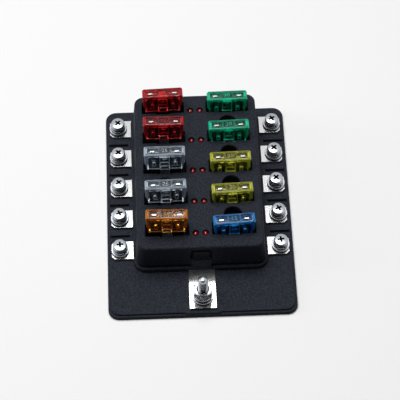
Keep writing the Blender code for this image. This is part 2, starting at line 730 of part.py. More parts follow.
def terminal_outline():
    """Outer strip seen from above, in the frame of its fuse, with x outwards."""
    start = BLADE_OFFSET - CLIP_WIDTH / 2 - GAP
    shoulder = TAB_SHOULDER_X - FUSE_X
    end = BASE_WIDTH / 2 - TAB_END_MARGIN - FUSE_X
    narrow = STRIP_WIDTH / 2
    wide = TAB_WIDTH / 2
    upper = [(start, narrow), (shoulder, narrow), (shoulder, wide), (end - TAB_CORNER, wide),
             (end, wide - TAB_CORNER)]
    lower = [(x, -y) for x, y in reversed(upper)]
    return upper + lower


def make_terminals():
    middle = (STRIP_BOTTOM + STRIP_TOP) / 2
    hole = circle((SCREW_X - FUSE_X, 0.0), SCREW_DIAMETER + 2 * GAP, SMALL_SEGMENTS)
    for side, sign in SIDES:
        for row in range(1, ROWS + 1):
            strip = plate(
                "terminal", [terminal_outline(), hole], STRIP_THICKNESS,
                Matrix.Translation((0.0, 0.0, middle)))
            name = f"terminal_{side}_{row}"
            terminal = add_part(name, strip, "tinned", (sign * FUSE_X, row_y(row), 0.0))
            half_turn = math.pi if sign < 0 else 0.0
            terminal.rotation_euler = (0.0, 0.0, half_turn)
            clip = clip_mesh(1, fuse_yaw(side, row))
            combine(terminal, "clip", clip, "UNION")
            tool = bpy.data.objects[f"{name}_clip"]
            tool.location = terminal.location
            tool.rotation_euler = terminal.rotation_euler


def make_bus_bar():
    """Feed tab and spine, one cross arm a row and a clip at each end of an arm."""
    middle = (STRIP_BOTTOM + STRIP_TOP) / 2
    half_spine = SPINE_WIDTH / 2
    half_tab = FEED_TAB_WIDTH / 2
    tab_back = CAVITY_FRONT_Y + 2 * RAIL_THICKNESS
    right = [(half_tab, FEED_TAB_FRONT_Y), (half_tab, tab_back), (half_spine, tab_back),
             (half_spine, row_y(1))]
    left = [(-x, y) for x, y in reversed(right)]
    hole = circle((0.0, STUD_Y), STUD_DIAMETER + 2 * GAP)
    strip = plate(
        "bus_bar", [right + left, hole], STRIP_THICKNESS, Matrix.Translation((0.0, 0.0, middle)))
    bus_bar = add_part("bus_bar", strip, "tinned")

    arm_end = FUSE_X - BLADE_OFFSET + CLIP_WIDTH / 2 + GAP
    arms = [
        box("arm", (-arm_end, arm_end), (row_y(row) - STRIP_WIDTH / 2, row_y(row) + STRIP_WIDTH / 2),
            (STRIP_BOTTOM, STRIP_TOP))
        for row in range(1, ROWS + 1)]
    fuse_on(bus_bar, "arms", merged("arms", arms))
    clips = []
    for side, sign in SIDES:
        for row in range(1, ROWS + 1):
            clip = clip_mesh(-sign, fuse_yaw(side, row))
            clip.transform(Matrix.Translation((sign * FUSE_X, row_y(row), 0.0)))
            clips.append(clip)
    fuse_on(bus_bar, "clips", merged("clips", clips))


# Blade fuses: the plastic body and the metal element in it, both with z down from the fuse's top
UPRIGHT = Matrix.Rotation(math.pi / 2, 4, "X")


def fuse_body_mesh():
    half = FUSE_WIDTH / 2
    low = -FUSE_PLASTIC_HEIGHT
    head_outline = [(-half, -HEAD_HEIGHT), (half, -HEAD_HEIGHT)]
    head_outline += arc((half - HEAD_CORNER, -HEAD_CORNER), HEAD_CORNER, 0.0, 90.0, SMALL_CORNER_STEPS)
    head_outline += arc((-half + HEAD_CORNER, -HEAD_CORNER), HEAD_CORNER, 90.0, 180.0, SMALL_CORNER_STEPS)
    holder = bpy.data.objects.new("fuse_body", plate("fuse_body", [head_outline], FUSE_THICKNESS, UPRIGHT))
    bpy.context.scene.collection.objects.link(holder)

    half = WAIST_WIDTH / 2
    top = -HEAD_HEIGHT / 2
    waist_outline = [
        (-half + WAIST_CHAMFER_X, low), (half - WAIST_CHAMFER_X, low), (half, low + WAIST_CHAMFER_Z),
        (half, top), (-half, top), (-half, low + WAIST_CHAMFER_Z)]
    fuse_on(holder, "waist", plate("waist", [waist_outline], WAIST_THICKNESS, UPRIGHT))
    half = COLUMN_WIDTH / 2
    column_outline = [(-half, low - COLUMN_DROP), (half, low - COLUMN_DROP), (half, top), (-half, top)]
    fuse_on(holder, "column", plate("column", [column_outline], COLUMN_THICKNESS, UPRIGHT))

    # The element's slot: a channel for each blade, the bay of the link and the two test points
    depth = BLADE_THICKNESS + 2 * GAP
    blade_top = -BLADE_TOP_DEPTH + GAP
    inner = BLADE_OFFSET - BLADE_WIDTH / 2 - GAP
    outer = BLADE_OFFSET + BLADE_WIDTH / 2 + GAP
    point_in = TEST_POINT_X - TEST_POINT_WIDTH / 2 - GAP
    point_out = TEST_POINT_X + TEST_POINT_WIDTH / 2 + GAP
    bay_top = -LINK_TOP_DEPTH + LINK_WIDTH
    bay_low = -LINK_FOOT_DEPTH - 2 * LINK_WIDTH
    bottom = low - 2 * COLUMN_DROP
    right = [
        (0.0, bay_low), (inner, bay_low), (inner, bottom), (outer, bottom), (outer, blade_top),
        (point_out, blade_top), (point_out, GAP), (point_in, GAP), (point_in, blade_top),
        (inner, blade_top), (inner, bay_top), (0.0, bay_top)]
    left = [(-x, z) for x, z in reversed(right[1:-1])]
    cut(holder, "slot", plate("slot", [right + left], depth, UPRIGHT))
    mesh = baked(holder)
    for modifier in list(holder.modifiers):
        bpy.data.objects.remove(modifier.object, do_unlink=True)
    bpy.data.objects.remove(holder, do_unlink=True)
    return mesh


def fuse_element_mesh():
    """Two blades with their test points, joined by the arched link that melts."""
    tip = -FUSE_PLASTIC_HEIGHT - BLADE_LENGTH
    inner = BLADE_OFFSET - BLADE_WIDTH / 2
    outer = BLADE_OFFSET + BLADE_WIDTH / 2
    top = -BLADE_TOP_DEPTH
    point_in = TEST_POINT_X - TEST_POINT_WIDTH / 2
    point_out = TEST_POINT_X + TEST_POINT_WIDTH / 2
    link_centre = (0.0, -LINK_FOOT_DEPTH)
    rise = LINK_FOOT_DEPTH - LINK_TOP_DEPTH
    upper_arch = [
        (x, link_centre[1] + (z - link_centre[1]) * rise / inner)
        for x, z in arc(link_centre, inner, 180.0, 0.0, LINK_STEPS)]
    lower_radius = inner - LINK_WIDTH
    lower_arch = [
        (x, link_centre[1] + (z - link_centre[1]) * (rise - LINK_WIDTH) / lower_radius)
        for x, z in arc(link_centre, lower_radius, 0.0, 180.0, LINK_STEPS)]
    chamfer = BLADE_TIP_CHAMFER
    right_down = [
        (inner, top), (point_in, top), (point_in, -TEST_POINT_RECESS), (point_out, -TEST_POINT_RECESS),
        (point_out, top), (outer, top), (outer, tip + chamfer), (outer - chamfer, tip),
        (inner + chamfer, tip), (inner, tip + chamfer), (inner, -LINK_FOOT_DEPTH - LINK_WIDTH)]
    left_up = [(-x, z) for x, z in reversed(right_down)]
    outline = upper_arch + right_down + lower_arch + left_up
    stakes = [square((sign * BLADE_OFFSET, -STAKE_DEPTH), STAKE_WIDTH) for _, sign in SIDES]
    return plate("fuse_element", [outline, *stakes], BLADE_THICKNESS, UPRIGHT)


def make_fuses():
    body = fuse_body_mesh()
    element = fuse_element_mesh()
    for side, sign in SIDES:
        for row in range(1, ROWS + 1):
            top = SEAT_HEIGHT + LIFTS[side][row - 1] + FUSE_PLASTIC_HEIGHT
            axis = add_axis(
                f"fuse_{side}_{row}_axis", (sign * FUSE_X, row_y(row), top), fuse_yaw(side, row))
            colour = FUSE_COLOURS[side][row - 1]
            add_part(f"fuse_{side}_{row}_body", body.copy(), colour, parent=axis)
            add_part(f"fuse_{side}_{row}_element", element, "fuse_metal", parent=axis)


# Terminal screws and their captive washers, with z down from the tab's top face
def make_terminal_screws():
    head_bottom = SCREW_HEAD_BOTTOM - STRIP_TOP
    head_top = head_bottom + SCREW_HEAD_HEIGHT
    tip = head_bottom - SCREW_LENGTH
    radius = SCREW_HEAD_DIAMETER / 2
    shank = SCREW_DIAMETER / 2
    screw = smooth(turned("terminal_screw", [
        (0.0, head_top), (radius - SCREW_HEAD_EDGE, head_top - SCREW_HEAD_EDGE / 3),
        (radius, head_top - 1.5 * SCREW_HEAD_EDGE),
        (radius, head_bottom), (shank, head_bottom), (shank, tip), (0.0, tip)], SCREW_SEGMENTS))
    washers = smooth(washer_pair_mesh())
    for side, sign in SIDES:
        for row in range(1, ROWS + 1):
            axis = add_axis(f"screw_{side}_{row}_axis", (sign * SCREW_X, row_y(row), STRIP_TOP))
            add_part(f"terminal_screw_{side}_{row}", screw, "zinc", parent=axis)
            add_part(f"terminal_washer_{side}_{row}", washers, "zinc", parent=axis)


def flat_ring(name, outer, inner, z_range, segments):
    low, high = z_range
    profile = [(outer / 2, high), (outer / 2, low), (inner / 2, low), (inner / 2, high)]
    return turned(name, profile, segments, closed=True)


def split_ring(name, outer, inner, z_range, split_turn, segments):
    """A spring washer: a flat ring with a slanted gap."""
    low, high = z_range
    ring = flat_ring(name, outer, inner, z_range, segments)
    holder = bpy.data.objects.new(name, ring)
    bpy.context.scene.collection.objects.link(holder)
    half = SPRING_WASHER_SPLIT / 2
    gap = box("split", (0.0, outer), (-half, half), (low - GAP, high + GAP))
    shear = Matrix.Shear("XY", 4, (0.0, SPLIT_SLANT))
    middle = (low + high) / 2
    gap.transform(Matrix.Translation((0.0, 0.0, middle)) @ shear @ Matrix.Translation((0.0, 0.0, -middle)))
    gap.transform(Matrix.Rotation(split_turn, 4, "Z"))
    cut(holder, "split", gap)
    mesh = baked(holder)
    bpy.data.objects.remove(holder.modifiers[0].object, do_unlink=True)
    bpy.data.objects.remove(holder, do_unlink=True)
    return mesh


def washer_pair_mesh():
    """Flat washer with the split spring washer seated on it, held together by the screw."""
    bore = SCREW_DIAMETER + 2 * GAP
    bottom = WASHER_BOTTOM - STRIP_TOP
    seam = bottom + WASHER_THICKNESS
    top = seam + SPRING_WASHER_THICKNESS
    flat = flat_ring("terminal_washer", WASHER_DIAMETER, bore, (bottom, seam), WASHER_SEGMENTS)
    spring = split_ring(
        "spring_washer", SPRING_WASHER_DIAMETER, bore + GAP, (seam - WASHER_THICKNESS / 4, top),
        math.radians(TERMINAL_SPLIT_DEG), WASHER_SEGMENTS)
    holder = bpy.data.objects.new("terminal_washer", flat)
    bpy.context.scene.collection.objects.link(holder)
    fuse_on(holder, "spring", spring)
    mesh = baked(holder)
    bpy.data.objects.remove(holder.modifiers[0].object, do_unlink=True)
    bpy.data.objects.remove(holder, do_unlink=True)
    return mesh


# Feed stud with its washers and nut
def make_feed_stud():
    axis = add_axis("feed_stud_axis", (0.0, STUD_Y, 0.0))
    radius = STUD_DIAMETER / 2
    head = STUD_HEAD_DIAMETER / 2
    head_top = BASE_THICKNESS
    head_bottom = head_top - STUD_HEAD_THICKNESS
    stud = smooth(turned("feed_stud", [
        (0.0, STUD_TOP), (radius * 0.5, STUD_TOP - STUD_DOME * 0.2),
        (radius * 0.85, STUD_TOP - STUD_DOME * 0.6), (radius, STUD_TOP - STUD_DOME),
        (radius, head_top), (head, head_top), (head, head_bottom), (0.0, head_bottom)]))
    add_part("feed_stud", stud, "zinc", parent=axis)

    bore = STUD_DIAMETER + 2 * GAP
    washer = smooth(flat_ring(
        "feed_flat_washer", FEED_WASHER_DIAMETER, bore,
        (FEED_WASHER_BOTTOM, FEED_WASHER_BOTTOM + FEED_WASHER_THICKNESS), ROUND_SEGMENTS))
    add_part("feed_flat_washer", washer, "zinc", parent=axis)

    spring = smooth(split_ring(
        "feed_spring_washer", FEED_SPRING_DIAMETER, bore,
        (FEED_SPRING_BOTTOM, FEED_SPRING_BOTTOM + FEED_SPRING_THICKNESS), math.radians(FEED_SPLIT_DEG),
        ROUND_SEGMENTS))
    add_part("feed_spring_washer", spring, "zinc", parent=axis)

    corner_diameter = NUT_ACROSS_FLATS / math.cos(math.pi / 6)
    block = cylinder(
        "feed_nut", corner_diameter, (NUT_BOTTOM, NUT_BOTTOM + NUT_HEIGHT), segments=6)
    nut = add_part("feed_nut", block, "zinc", parent=axis)
    nut_top = NUT_BOTTOM + NUT_HEIGHT
    flat_end = NUT_ACROSS_FLATS / 2 - NUT_EDGE / 2
    corner_end = corner_diameter / 2 + NUT_EDGE
    envelope = turned("envelope", [
        (0.0, nut_top + GAP), (flat_end, nut_top + GAP), (corner_end, nut_top - NUT_EDGE),
        (corner_end, NUT_BOTTOM + NUT_EDGE), (flat_end, NUT_BOTTOM - GAP), (0.0, NUT_BOTTOM - GAP)])
    combine(nut, "chamfers", envelope, "INTERSECT")
    cut(nut, "bore", cylinder(
        "bore", bore, (NUT_BOTTOM - 2 * GAP, NUT_BOTTOM + NUT_HEIGHT + 2 * GAP)))
    for tool in CUTTERS.objects:
        if tool.name.startswith("feed_nut"):
            tool.parent = axis


make_base()
make_housing()
make_lamp_board()
make_bus_bar()
make_terminals()
make_fuses()
make_terminal_screws()
make_feed_stud()
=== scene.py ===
"""Looks of the ten-way blade fuse block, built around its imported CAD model.

Metres, +Z up; the feed stud is at the front, towards -Y. Each section holds one
piece or one group of like pieces, in the order in which the block is put together."""

import math

import bmesh
import bpy
from mathutils import Matrix, Vector


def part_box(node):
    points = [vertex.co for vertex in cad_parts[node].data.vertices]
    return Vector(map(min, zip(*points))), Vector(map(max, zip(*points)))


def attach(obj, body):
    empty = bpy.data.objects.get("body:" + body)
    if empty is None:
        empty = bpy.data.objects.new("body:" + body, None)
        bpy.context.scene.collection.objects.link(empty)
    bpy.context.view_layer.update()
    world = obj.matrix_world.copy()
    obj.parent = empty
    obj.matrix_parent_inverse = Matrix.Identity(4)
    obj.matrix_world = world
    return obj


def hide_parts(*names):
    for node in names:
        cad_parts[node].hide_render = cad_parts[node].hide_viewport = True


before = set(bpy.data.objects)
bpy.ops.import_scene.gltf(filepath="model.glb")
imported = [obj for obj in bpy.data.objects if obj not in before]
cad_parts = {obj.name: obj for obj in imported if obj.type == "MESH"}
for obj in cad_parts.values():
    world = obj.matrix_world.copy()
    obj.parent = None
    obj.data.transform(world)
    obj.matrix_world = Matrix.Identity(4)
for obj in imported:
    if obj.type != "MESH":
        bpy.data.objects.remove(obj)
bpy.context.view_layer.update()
bpy.context.scene.view_settings.view_transform = "Standard"


# The view: a long lens looks down on the block from the front and a little to the left,
# as the photographer did. The shift only places the block in the photograph's frame.
CAMERA_ELEVATION = math.radians(57.0)
CAMERA_AZIMUTH = math.radians(-2.20)
CAMERA_ROLL = math.radians(-0.09)
CAMERA_DISTANCE = 0.8149
CAMERA_AIM = Vector((0.0, 0.00915, 0.0))
CAMERA_SENSOR = 36.0
CAMERA_LENS = 153.7
CAMERA_SHIFT = (0.0055, -0.0132)
TO_CAMERA = Vector((
    math.sin(CAMERA_AZIMUTH) * math.cos(CAMERA_ELEVATION),
    -math.cos(CAMERA_AZIMUTH) * math.cos(CAMERA_ELEVATION),
    math.sin(CAMERA_ELEVATION)))


def facing(direction):
    """The turn that points +Z along a direction."""
    return direction.to_track_quat("Z", "Y").to_matrix().to_4x4()


def new_object(name, data):
    """An object at the origin, linked into the scene."""
    item = bpy.data.objects.new(name, data)
    bpy.context.scene.collection.objects.link(item)
    return item


def place_camera():
    lens = bpy.data.cameras.new("view")
    lens.sensor_width = CAMERA_SENSOR
    lens.lens = CAMERA_LENS
    lens.shift_x, lens.shift_y = CAMERA_SHIFT
    camera = new_object("view", lens)
    stand = Matrix.Translation(CAMERA_AIM + TO_CAMERA * CAMERA_DISTANCE)
    camera.matrix_world = stand @ facing(TO_CAMERA) @ Matrix.Rotation(CAMERA_ROLL, 4, "Z")
    bpy.context.scene.camera = camera


place_camera()


# The studio: a pale paper table below two soft lamps. The large one hangs overhead and a
# little behind, so that top faces are lit evenly and front faces stay dark. A dark card
# behind the camera is what the flat metal mirrors.
FLOOR_SIZE = (6.0, 6.0)
FLOOR_DROP = 0.0001
PAPER = (0.985, 0.985, 0.985)
PAPER_BOUNCE = 0.12
PAPER_ROUGHNESS = 0.9
PAPER_SHINE = 0.1
FIBRE_SCALE = 700.0
FIBRE_TONES = ((0.0, 0.99), (1.0, 1.01))
WHITE = (1.0, 1.0, 1.0, 1.0)
WORLD_STRENGTH = 0.06
CARD_SIZE = (1.7, 1.3)
CARD_DISTANCE = 1.25
CARD_BLACK = (0.010, 0.010, 0.011)
SOFTBOXES = (
    ("top_softbox", (-0.12, 0.16, 1.10), (0.80, 0.60), 12.0),
    ("left_softbox", (-0.95, 0.10, 0.45), (0.40, 0.60), 1.4),
)


def add_softbox(name, location, size, power):
    lamp = bpy.data.lights.new(name, "AREA")
    lamp.shape = "RECTANGLE"
    lamp.size, lamp.size_y = size
    lamp.energy = power
    aim = Vector(location)
    new_object(name, lamp).matrix_world = Matrix.Translation(aim) @ facing(aim)


def set_inputs(node, **inputs):
    """Gives inputs a constant or another node's output; _ stands for a space in a name."""
    for key, value in inputs.items():
        socket = node.inputs[key.replace("_", " ")]
        if isinstance(value, bpy.types.NodeSocket):
            node.id_data.links.new(value, socket)
        else:
            socket.default_value = value


def add_node(tree, kind, **inputs):
    node = tree.nodes.new(f"ShaderNode{kind}")
    set_inputs(node, **inputs)
    return node


def new_material(name, **constants):
    """A node material, its tree and its shader, which has the given constants."""
    material = bpy.data.materials.new(name)
    material.use_nodes = True
    shader = material.node_tree.nodes["Principled BSDF"]
    set_inputs(shader, **constants)
    return material, material.node_tree, shader


def object_place(tree):
    return tree.nodes.new("ShaderNodeTexCoord").outputs["Object"]


def noise(tree, place, scale, detail=2.0, distortion=0.0):
    texture = add_node(
        tree, "TexNoise", Vector=place, Scale=scale, Detail=detail, Distortion=distortion)
    return texture.outputs["Fac"]


def shaded(tree, value, colour, *tones):
    """The colour in two shades, each (position, factor), spread by a texture's value."""
    ramp = add_node(tree, "ValToRGB", Fac=value)
    for stop, (position, factor) in zip(ramp.color_ramp.elements, tones):
        stop.position = position
        stop.color = (*[min(1.0, c * factor) for c in colour], 1.0)
    return ramp.outputs["Color"]


def ranged(tree, value, **limits):
    return add_node(tree, "MapRange", Value=value, **limits).outputs["Result"]


def mixed(tree, factor, first, second, blend="MIX"):
    mix = tree.nodes.new("ShaderNodeMix")
    mix.data_type = "RGBA"
    mix.blend_type = blend
    set_inputs(mix, Factor=factor, A=first, B=second)
    return mix.outputs["Result"]


def seen_directly(tree):
    """1 for what the camera sees straight, in metal or through clear plastic, else 0."""
    path = tree.nodes.new("ShaderNodeLightPath")
    seen = path.outputs["Is Camera Ray"]
    for ray in ("Is Glossy Ray", "Is Transmission Ray"):
        total = tree.nodes.new("ShaderNodeMath")
        total.operation = "MAXIMUM"
        tree.links.new(seen, total.inputs[0])
        tree.links.new(path.outputs[ray], total.inputs[1])
        seen = total.outputs["Value"]
    return seen


def paper(name, colour, bounce):
    """Matte paper; bounce is how pale it is for the light that it sends on."""
    material, tree, shader = new_material(
        name, Roughness=PAPER_ROUGHNESS, Specular_IOR_Level=PAPER_SHINE)
    fibre = noise(tree, object_place(tree), FIBRE_SCALE)
    tone = shaded(tree, fibre, colour, *FIBRE_TONES)
    dim = (bounce, bounce, bounce, 1.0)
    set_inputs(shader, Base_Color=mixed(tree, seen_directly(tree), dim, tone))
    return material


def add_sheet(name, size, place, material):
    """A flat sheet on the stage, centred on its place."""
    builder = bmesh.new()
    bmesh.ops.create_grid(builder, x_segments=1, y_segments=1, size=0.5)
    bmesh.ops.scale(builder, vec=(*size, 1.0), verts=builder.verts)
    bmesh.ops.transform(builder, matrix=place, verts=builder.verts)
    mesh = bpy.data.meshes.new(name)
    builder.to_mesh(mesh)
    builder.free()
    mesh.materials.append(material)
    new_object(name, mesh)


def make_studio():
    for softbox in SOFTBOXES:
        add_softbox(*softbox)
    add_sheet("table", FLOOR_SIZE, Matrix.Translation((0.0, 0.0, -FLOOR_DROP)),
              paper("table_paper", PAPER, PAPER_BOUNCE))
    add_sheet("dark_card", CARD_SIZE,
              Matrix.Translation(TO_CAMERA * CARD_DISTANCE) @ facing(TO_CAMERA),
              paper("black_paper", CARD_BLACK, CARD_BLACK[0]))
    world = bpy.data.worlds.new("studio")
    world.use_nodes = True
    bpy.context.scene.world = world
    tree = world.node_tree
    level = ranged(tree, seen_directly(tree), To_Min=WORLD_STRENGTH, To_Max=1.0)
    set_inputs(tree.nodes["Background"], Color=WHITE, Strength=level)


make_studio()


# Base: one plate moulded in charcoal plastic, with a lower lip all round, a tongue at
# the front, thin dividers between the terminals and a rail that locates the housing.
CHARCOAL = (0.0182, 0.0213, 0.0290)
BASE_SIZE = (0.0866, 0.1150)
BASE_TOP = 0.0030
BASE_CORNER = 0.0050
LIP_TOP = 0.0020
LIP_INSET = 0.0011
LIP_ROUND = 0.0005
PLATE_ROUND = 0.0003
TONGUE_HALF = 0.0080
DIVIDER_HALF = 0.0005
DIVIDER_TOP = 0.0047
DIVIDER_X = (0.0328, 0.0420)
DIVIDER_ROUND = 0.0003
RAIL_OUTSIDE = (0.0530, 0.0794)
RAIL_THICKNESS = 0.0010
RAIL_TOP = 0.0050
HOUSING_CENTRE_Y = 0.0096
ROWS = 5
ROW_PITCH = 0.0172
MIDDLE_ROW_Y = 0.01125
SIDES = (("left", -1), ("right", 1))
TERMINAL_X = 0.03725
SCREW_HOLE_RADIUS = 0.0023
SCREW_HOLE_FLOOR = 0.0006
STUD_Y = -0.0492
STUD_POCKET_RADIUS = 0.0053
STUD_POCKET_FLOOR = 0.0013
PASSAGE_HALF = 0.0053
FEED_PASSAGE_HALF = 0.00665
GRAIN_SCALE = 3200.0
GRAIN_BUMP = (0.35, 0.00005)
MOTTLE_SCALE = 1500.0
MOTTLE_TONES = ((0.30, 0.48), (0.72, 1.72))
SPECK_SCALE = 900.0
SPECK_EDGE = (0.24, 0.08)
DUST_SHARE = 0.45
DUST_PALENESS = 3.2
GLOSS_SPREAD = (-0.07, 0.09)
LEVEL_EDGE = 0.0001
SAME_POINT = 0.000002
CREASE = math.radians(32.0)


def row_y(row):
    """Y of a row's centre line; row 1 is the one at the back."""
    return MIDDLE_ROW_Y + ((ROWS + 1) / 2 - row) * ROW_PITCH


def bumped(tree, shader, height, strength, distance):
    """Lets a texture's value raise the surface a little."""
    bump = add_node(tree, "Bump", Height=height, Strength=strength, Distance=distance)
    set_inputs(shader, Normal=bump.outputs["Normal"])


def moulded_grain(name, colour, roughness=0.55, specular=0.05):
    """Matte moulded plastic: fine spark-eroded grain, faint mottling and dusty specks."""
    material, tree, shader = new_material(name, Specular_IOR_Level=specular)
    place = object_place(tree)
    grain = noise(tree, place, GRAIN_SCALE, 3.0)
    mottle = noise(tree, place, MOTTLE_SCALE, 4.0)
    speck = add_node(tree, "TexVoronoi", Vector=place, Scale=SPECK_SCALE)
    dust = ranged(tree, speck.outputs["Distance"], From_Min=SPECK_EDGE[0],
                  From_Max=SPECK_EDGE[1], To_Max=DUST_SHARE)
    tone = shaded(tree, mottle, colour, *MOTTLE_TONES)
    dusty = (*[c * DUST_PALENESS for c in colour], 1.0)
    gloss = ranged(tree, mottle, To_Min=roughness + GLOSS_SPREAD[0],
                   To_Max=roughness + GLOSS_SPREAD[1])
    set_inputs(shader, Base_Color=mixed(tree, dust, tone, dusty), Roughness=gloss)
    bumped(tree, shader, grain, *GRAIN_BUMP)
    return material


CHARCOAL_PLASTIC = moulded_grain("charcoal_plastic", CHARCOAL)


def to_mesh(name, builder):
    mesh = bpy.data.meshes.new(name)
    bmesh.ops.recalc_face_normals(builder, faces=builder.faces)
    builder.to_mesh(mesh)
    builder.free()
    return mesh


def opened(mesh):
    """A bmesh with a mesh's shape."""
    builder = bmesh.new()
    builder.from_mesh(mesh)
    return builder


def block(x_range, y_range, z_range):
    """A box as a bmesh, from its three ranges."""
    builder = bmesh.new()
    bmesh.ops.create_cube(builder, size=1.0)
    low = Vector((x_range[0], y_range[0], z_range[0]))
    high = Vector((x_range[1], y_range[1], z_range[1]))
    bmesh.ops.scale(builder, vec=high - low, verts=builder.verts)
    bmesh.ops.translate(builder, vec=(low + high) / 2, verts=builder.verts)
    return builder


def round_edges(builder, edges, radius, segments):
    bmesh.ops.bevel(
        builder, geom=edges, offset=radius, segments=segments, profile=0.5, affect="EDGES",
        material=-1, clamp_overlap=True)


def upright_edges(builder):
    return [e for e in builder.edges if abs(e.verts[0].co.z - e.verts[1].co.z) > LEVEL_EDGE]


def span(half, centre=0.0):
    """The range that reaches half to both sides of a centre."""
    return centre - half, centre + half


def on_side(sign, x_range):
    """An X range on the left (-1) or on the right (1)."""
    return sorted(sign * x for x in x_range)


def rounded_slab(
        size, z_range, corner, centre_y=0.0, draft=(0.0, 0.0), edge=0.0, edge_segments=4):
    """A slab with round upright corners, a draft inwards in X and Y, and a round top edge."""
    low, high = z_range
    builder = block(span(size[0] / 2), span(size[1] / 2, centre_y), z_range)
    middle = (low + high) / 2
    for vert in builder.verts:
        if vert.co.z > middle:
            vert.co.x -= math.copysign(draft[0], vert.co.x)
            vert.co.y -= math.copysign(draft[1], vert.co.y - centre_y)
    round_edges(builder, upright_edges(builder), corner, 10)
    if edge > 0.0:
        rim = [e for e in builder.edges if all(v.co.z > high - edge / 100 for v in e.verts)]
        round_edges(builder, rim, edge, edge_segments)
    return builder


def drum(radius, z_range, centre=(0.0, 0.0), segments=40):
    """An upright cylinder as a bmesh."""
    builder = bmesh.new()
    middle = Vector((*centre, (z_range[0] + z_range[1]) / 2))
    bmesh.ops.create_cone(
        builder, cap_ends=True, segments=segments, radius1=radius, radius2=radius,
        depth=z_range[1] - z_range[0], matrix=Matrix.Translation(middle))
    return builder


def gathered(builders):
    """Several separate closed shapes as one bmesh."""
    whole = bmesh.new()
    for builder in builders:
        mesh = to_mesh("part", builder)
        whole.from_mesh(mesh)
        bpy.data.meshes.remove(mesh)
    return whole


def evaluated_mesh(item):
    """An object's mesh as its modifiers leave it."""
    bpy.context.view_layer.update()
    graph = bpy.context.evaluated_depsgraph_get()
    return bpy.data.meshes.new_from_object(item.evaluated_get(graph))


def carved(name, builder, steps):
    """The bmesh after exact Booleans; each step is (operation, bmesh)."""
    holder = new_object(name, to_mesh(name, builder))
    tools = []
    for operation, shape in steps:
        tool = new_object(f"{name}_tool", to_mesh(f"{name}_tool", shape))
        modifier = holder.modifiers.new(operation, "BOOLEAN")
        modifier.operation = operation
        modifier.solver = "EXACT"
        modifier.object = tool
        tools.append(tool)
    mesh = evaluated_mesh(holder)
    for item in (holder, *tools):
        bpy.data.objects.remove(item, do_unlink=True)
    result = opened(mesh)
    bmesh.ops.remove_doubles(result, verts=result.verts, dist=SAME_POINT)
    bpy.data.meshes.remove(mesh)
    return result


def finished(name, builder, materials, body, nodes=()):
    """An object from a bmesh that rides on a CAD body and stands for its nodes. Flat faces
    keep flat normals, and only the rounded edges between them shade smoothly."""
    mesh = to_mesh(name, builder)
    for material in materials:
        mesh.materials.append(material)
    for face in mesh.polygons:
        face.material_index = min(face.material_index, len(materials) - 1)
    mesh.shade_smooth()
    mesh.set_sharp_from_angle(angle=CREASE)
    piece = new_object(name, mesh)
    flatten = piece.modifiers.new("flatten", "WEIGHTED_NORMAL")
    flatten.keep_sharp = True
    piece.data = evaluated_mesh(piece)
    piece.modifiers.clear()
    bpy.data.meshes.remove(mesh)
    piece.data.name = name
    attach(piece, body)
    if nodes:
        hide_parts(*nodes)


def make_base():
    lip = rounded_slab(BASE_SIZE, (0.0, LIP_TOP), BASE_CORNER, edge=LIP_ROUND)
    upper_size = (BASE_SIZE[0] - 2 * LIP_INSET, BASE_SIZE[1] - 2 * LIP_INSET)
    upper = rounded_slab(
        upper_size, (LIP_TOP / 2, BASE_TOP), BASE_CORNER - LIP_INSET / 2, edge=PLATE_ROUND)
    front = -BASE_SIZE[1] / 2
    tongue = block(
        span(TONGUE_HALF), (front + LIP_ROUND, front + BASE_CORNER),
        (LIP_TOP / 2, BASE_TOP - PLATE_ROUND / 4))
    rim = [e for e in tongue.edges if all(v.co.z > LIP_TOP for v in e.verts)]
    round_edges(tongue, rim, PLATE_ROUND, 3)
    dividers = []
    for row in range(1, ROWS):
        y = row_y(row) - ROW_PITCH / 2
        for _, sign in SIDES:
            wall = block(on_side(sign, DIVIDER_X), span(DIVIDER_HALF, y), (LIP_TOP, DIVIDER_TOP))
            rim = [e for e in wall.edges if any(v.co.z > BASE_TOP for v in e.verts)]
            round_edges(wall, rim, DIVIDER_ROUND, 3)
            dividers.append(wall)
    half_x, half_y = RAIL_OUTSIDE[0] / 2, RAIL_OUTSIDE[1] / 2
    open_z = (BASE_TOP, 2 * RAIL_TOP)
    rail = block(span(half_x), span(half_y, HOUSING_CENTRE_Y), (LIP_TOP, RAIL_TOP))
    inside = block(span(half_x - RAIL_THICKNESS),
                   span(half_y - RAIL_THICKNESS, HOUSING_CENTRE_Y), open_z)
    openings = [drum(STUD_POCKET_RADIUS, (STUD_POCKET_FLOOR, 2 * RAIL_TOP), (0.0, STUD_Y))]
    front = HOUSING_CENTRE_Y - half_y
    openings.append(block(
        span(FEED_PASSAGE_HALF), (front - RAIL_THICKNESS, front + 2 * RAIL_THICKNESS), open_z))
    for row in range(1, ROWS + 1):
        y = row_y(row)
        for _, sign in SIDES:
            openings.append(drum(
                SCREW_HOLE_RADIUS, (SCREW_HOLE_FLOOR, RAIL_TOP), (sign * TERMINAL_X, y)))
            openings.append(block(
                on_side(sign, (half_x - 2 * RAIL_THICKNESS, half_x + RAIL_THICKNESS)),
                span(PASSAGE_HALF, y), open_z))
    base = carved("moulded_base", lip, [
        ("UNION", upper), ("UNION", tongue), ("UNION", gathered(dividers)), ("UNION", rail),
        ("DIFFERENCE", inside), ("DIFFERENCE", gathered(openings))])
    finished("moulded_base", base, [CHARCOAL_PLASTIC], "block", ["base"])


make_base()


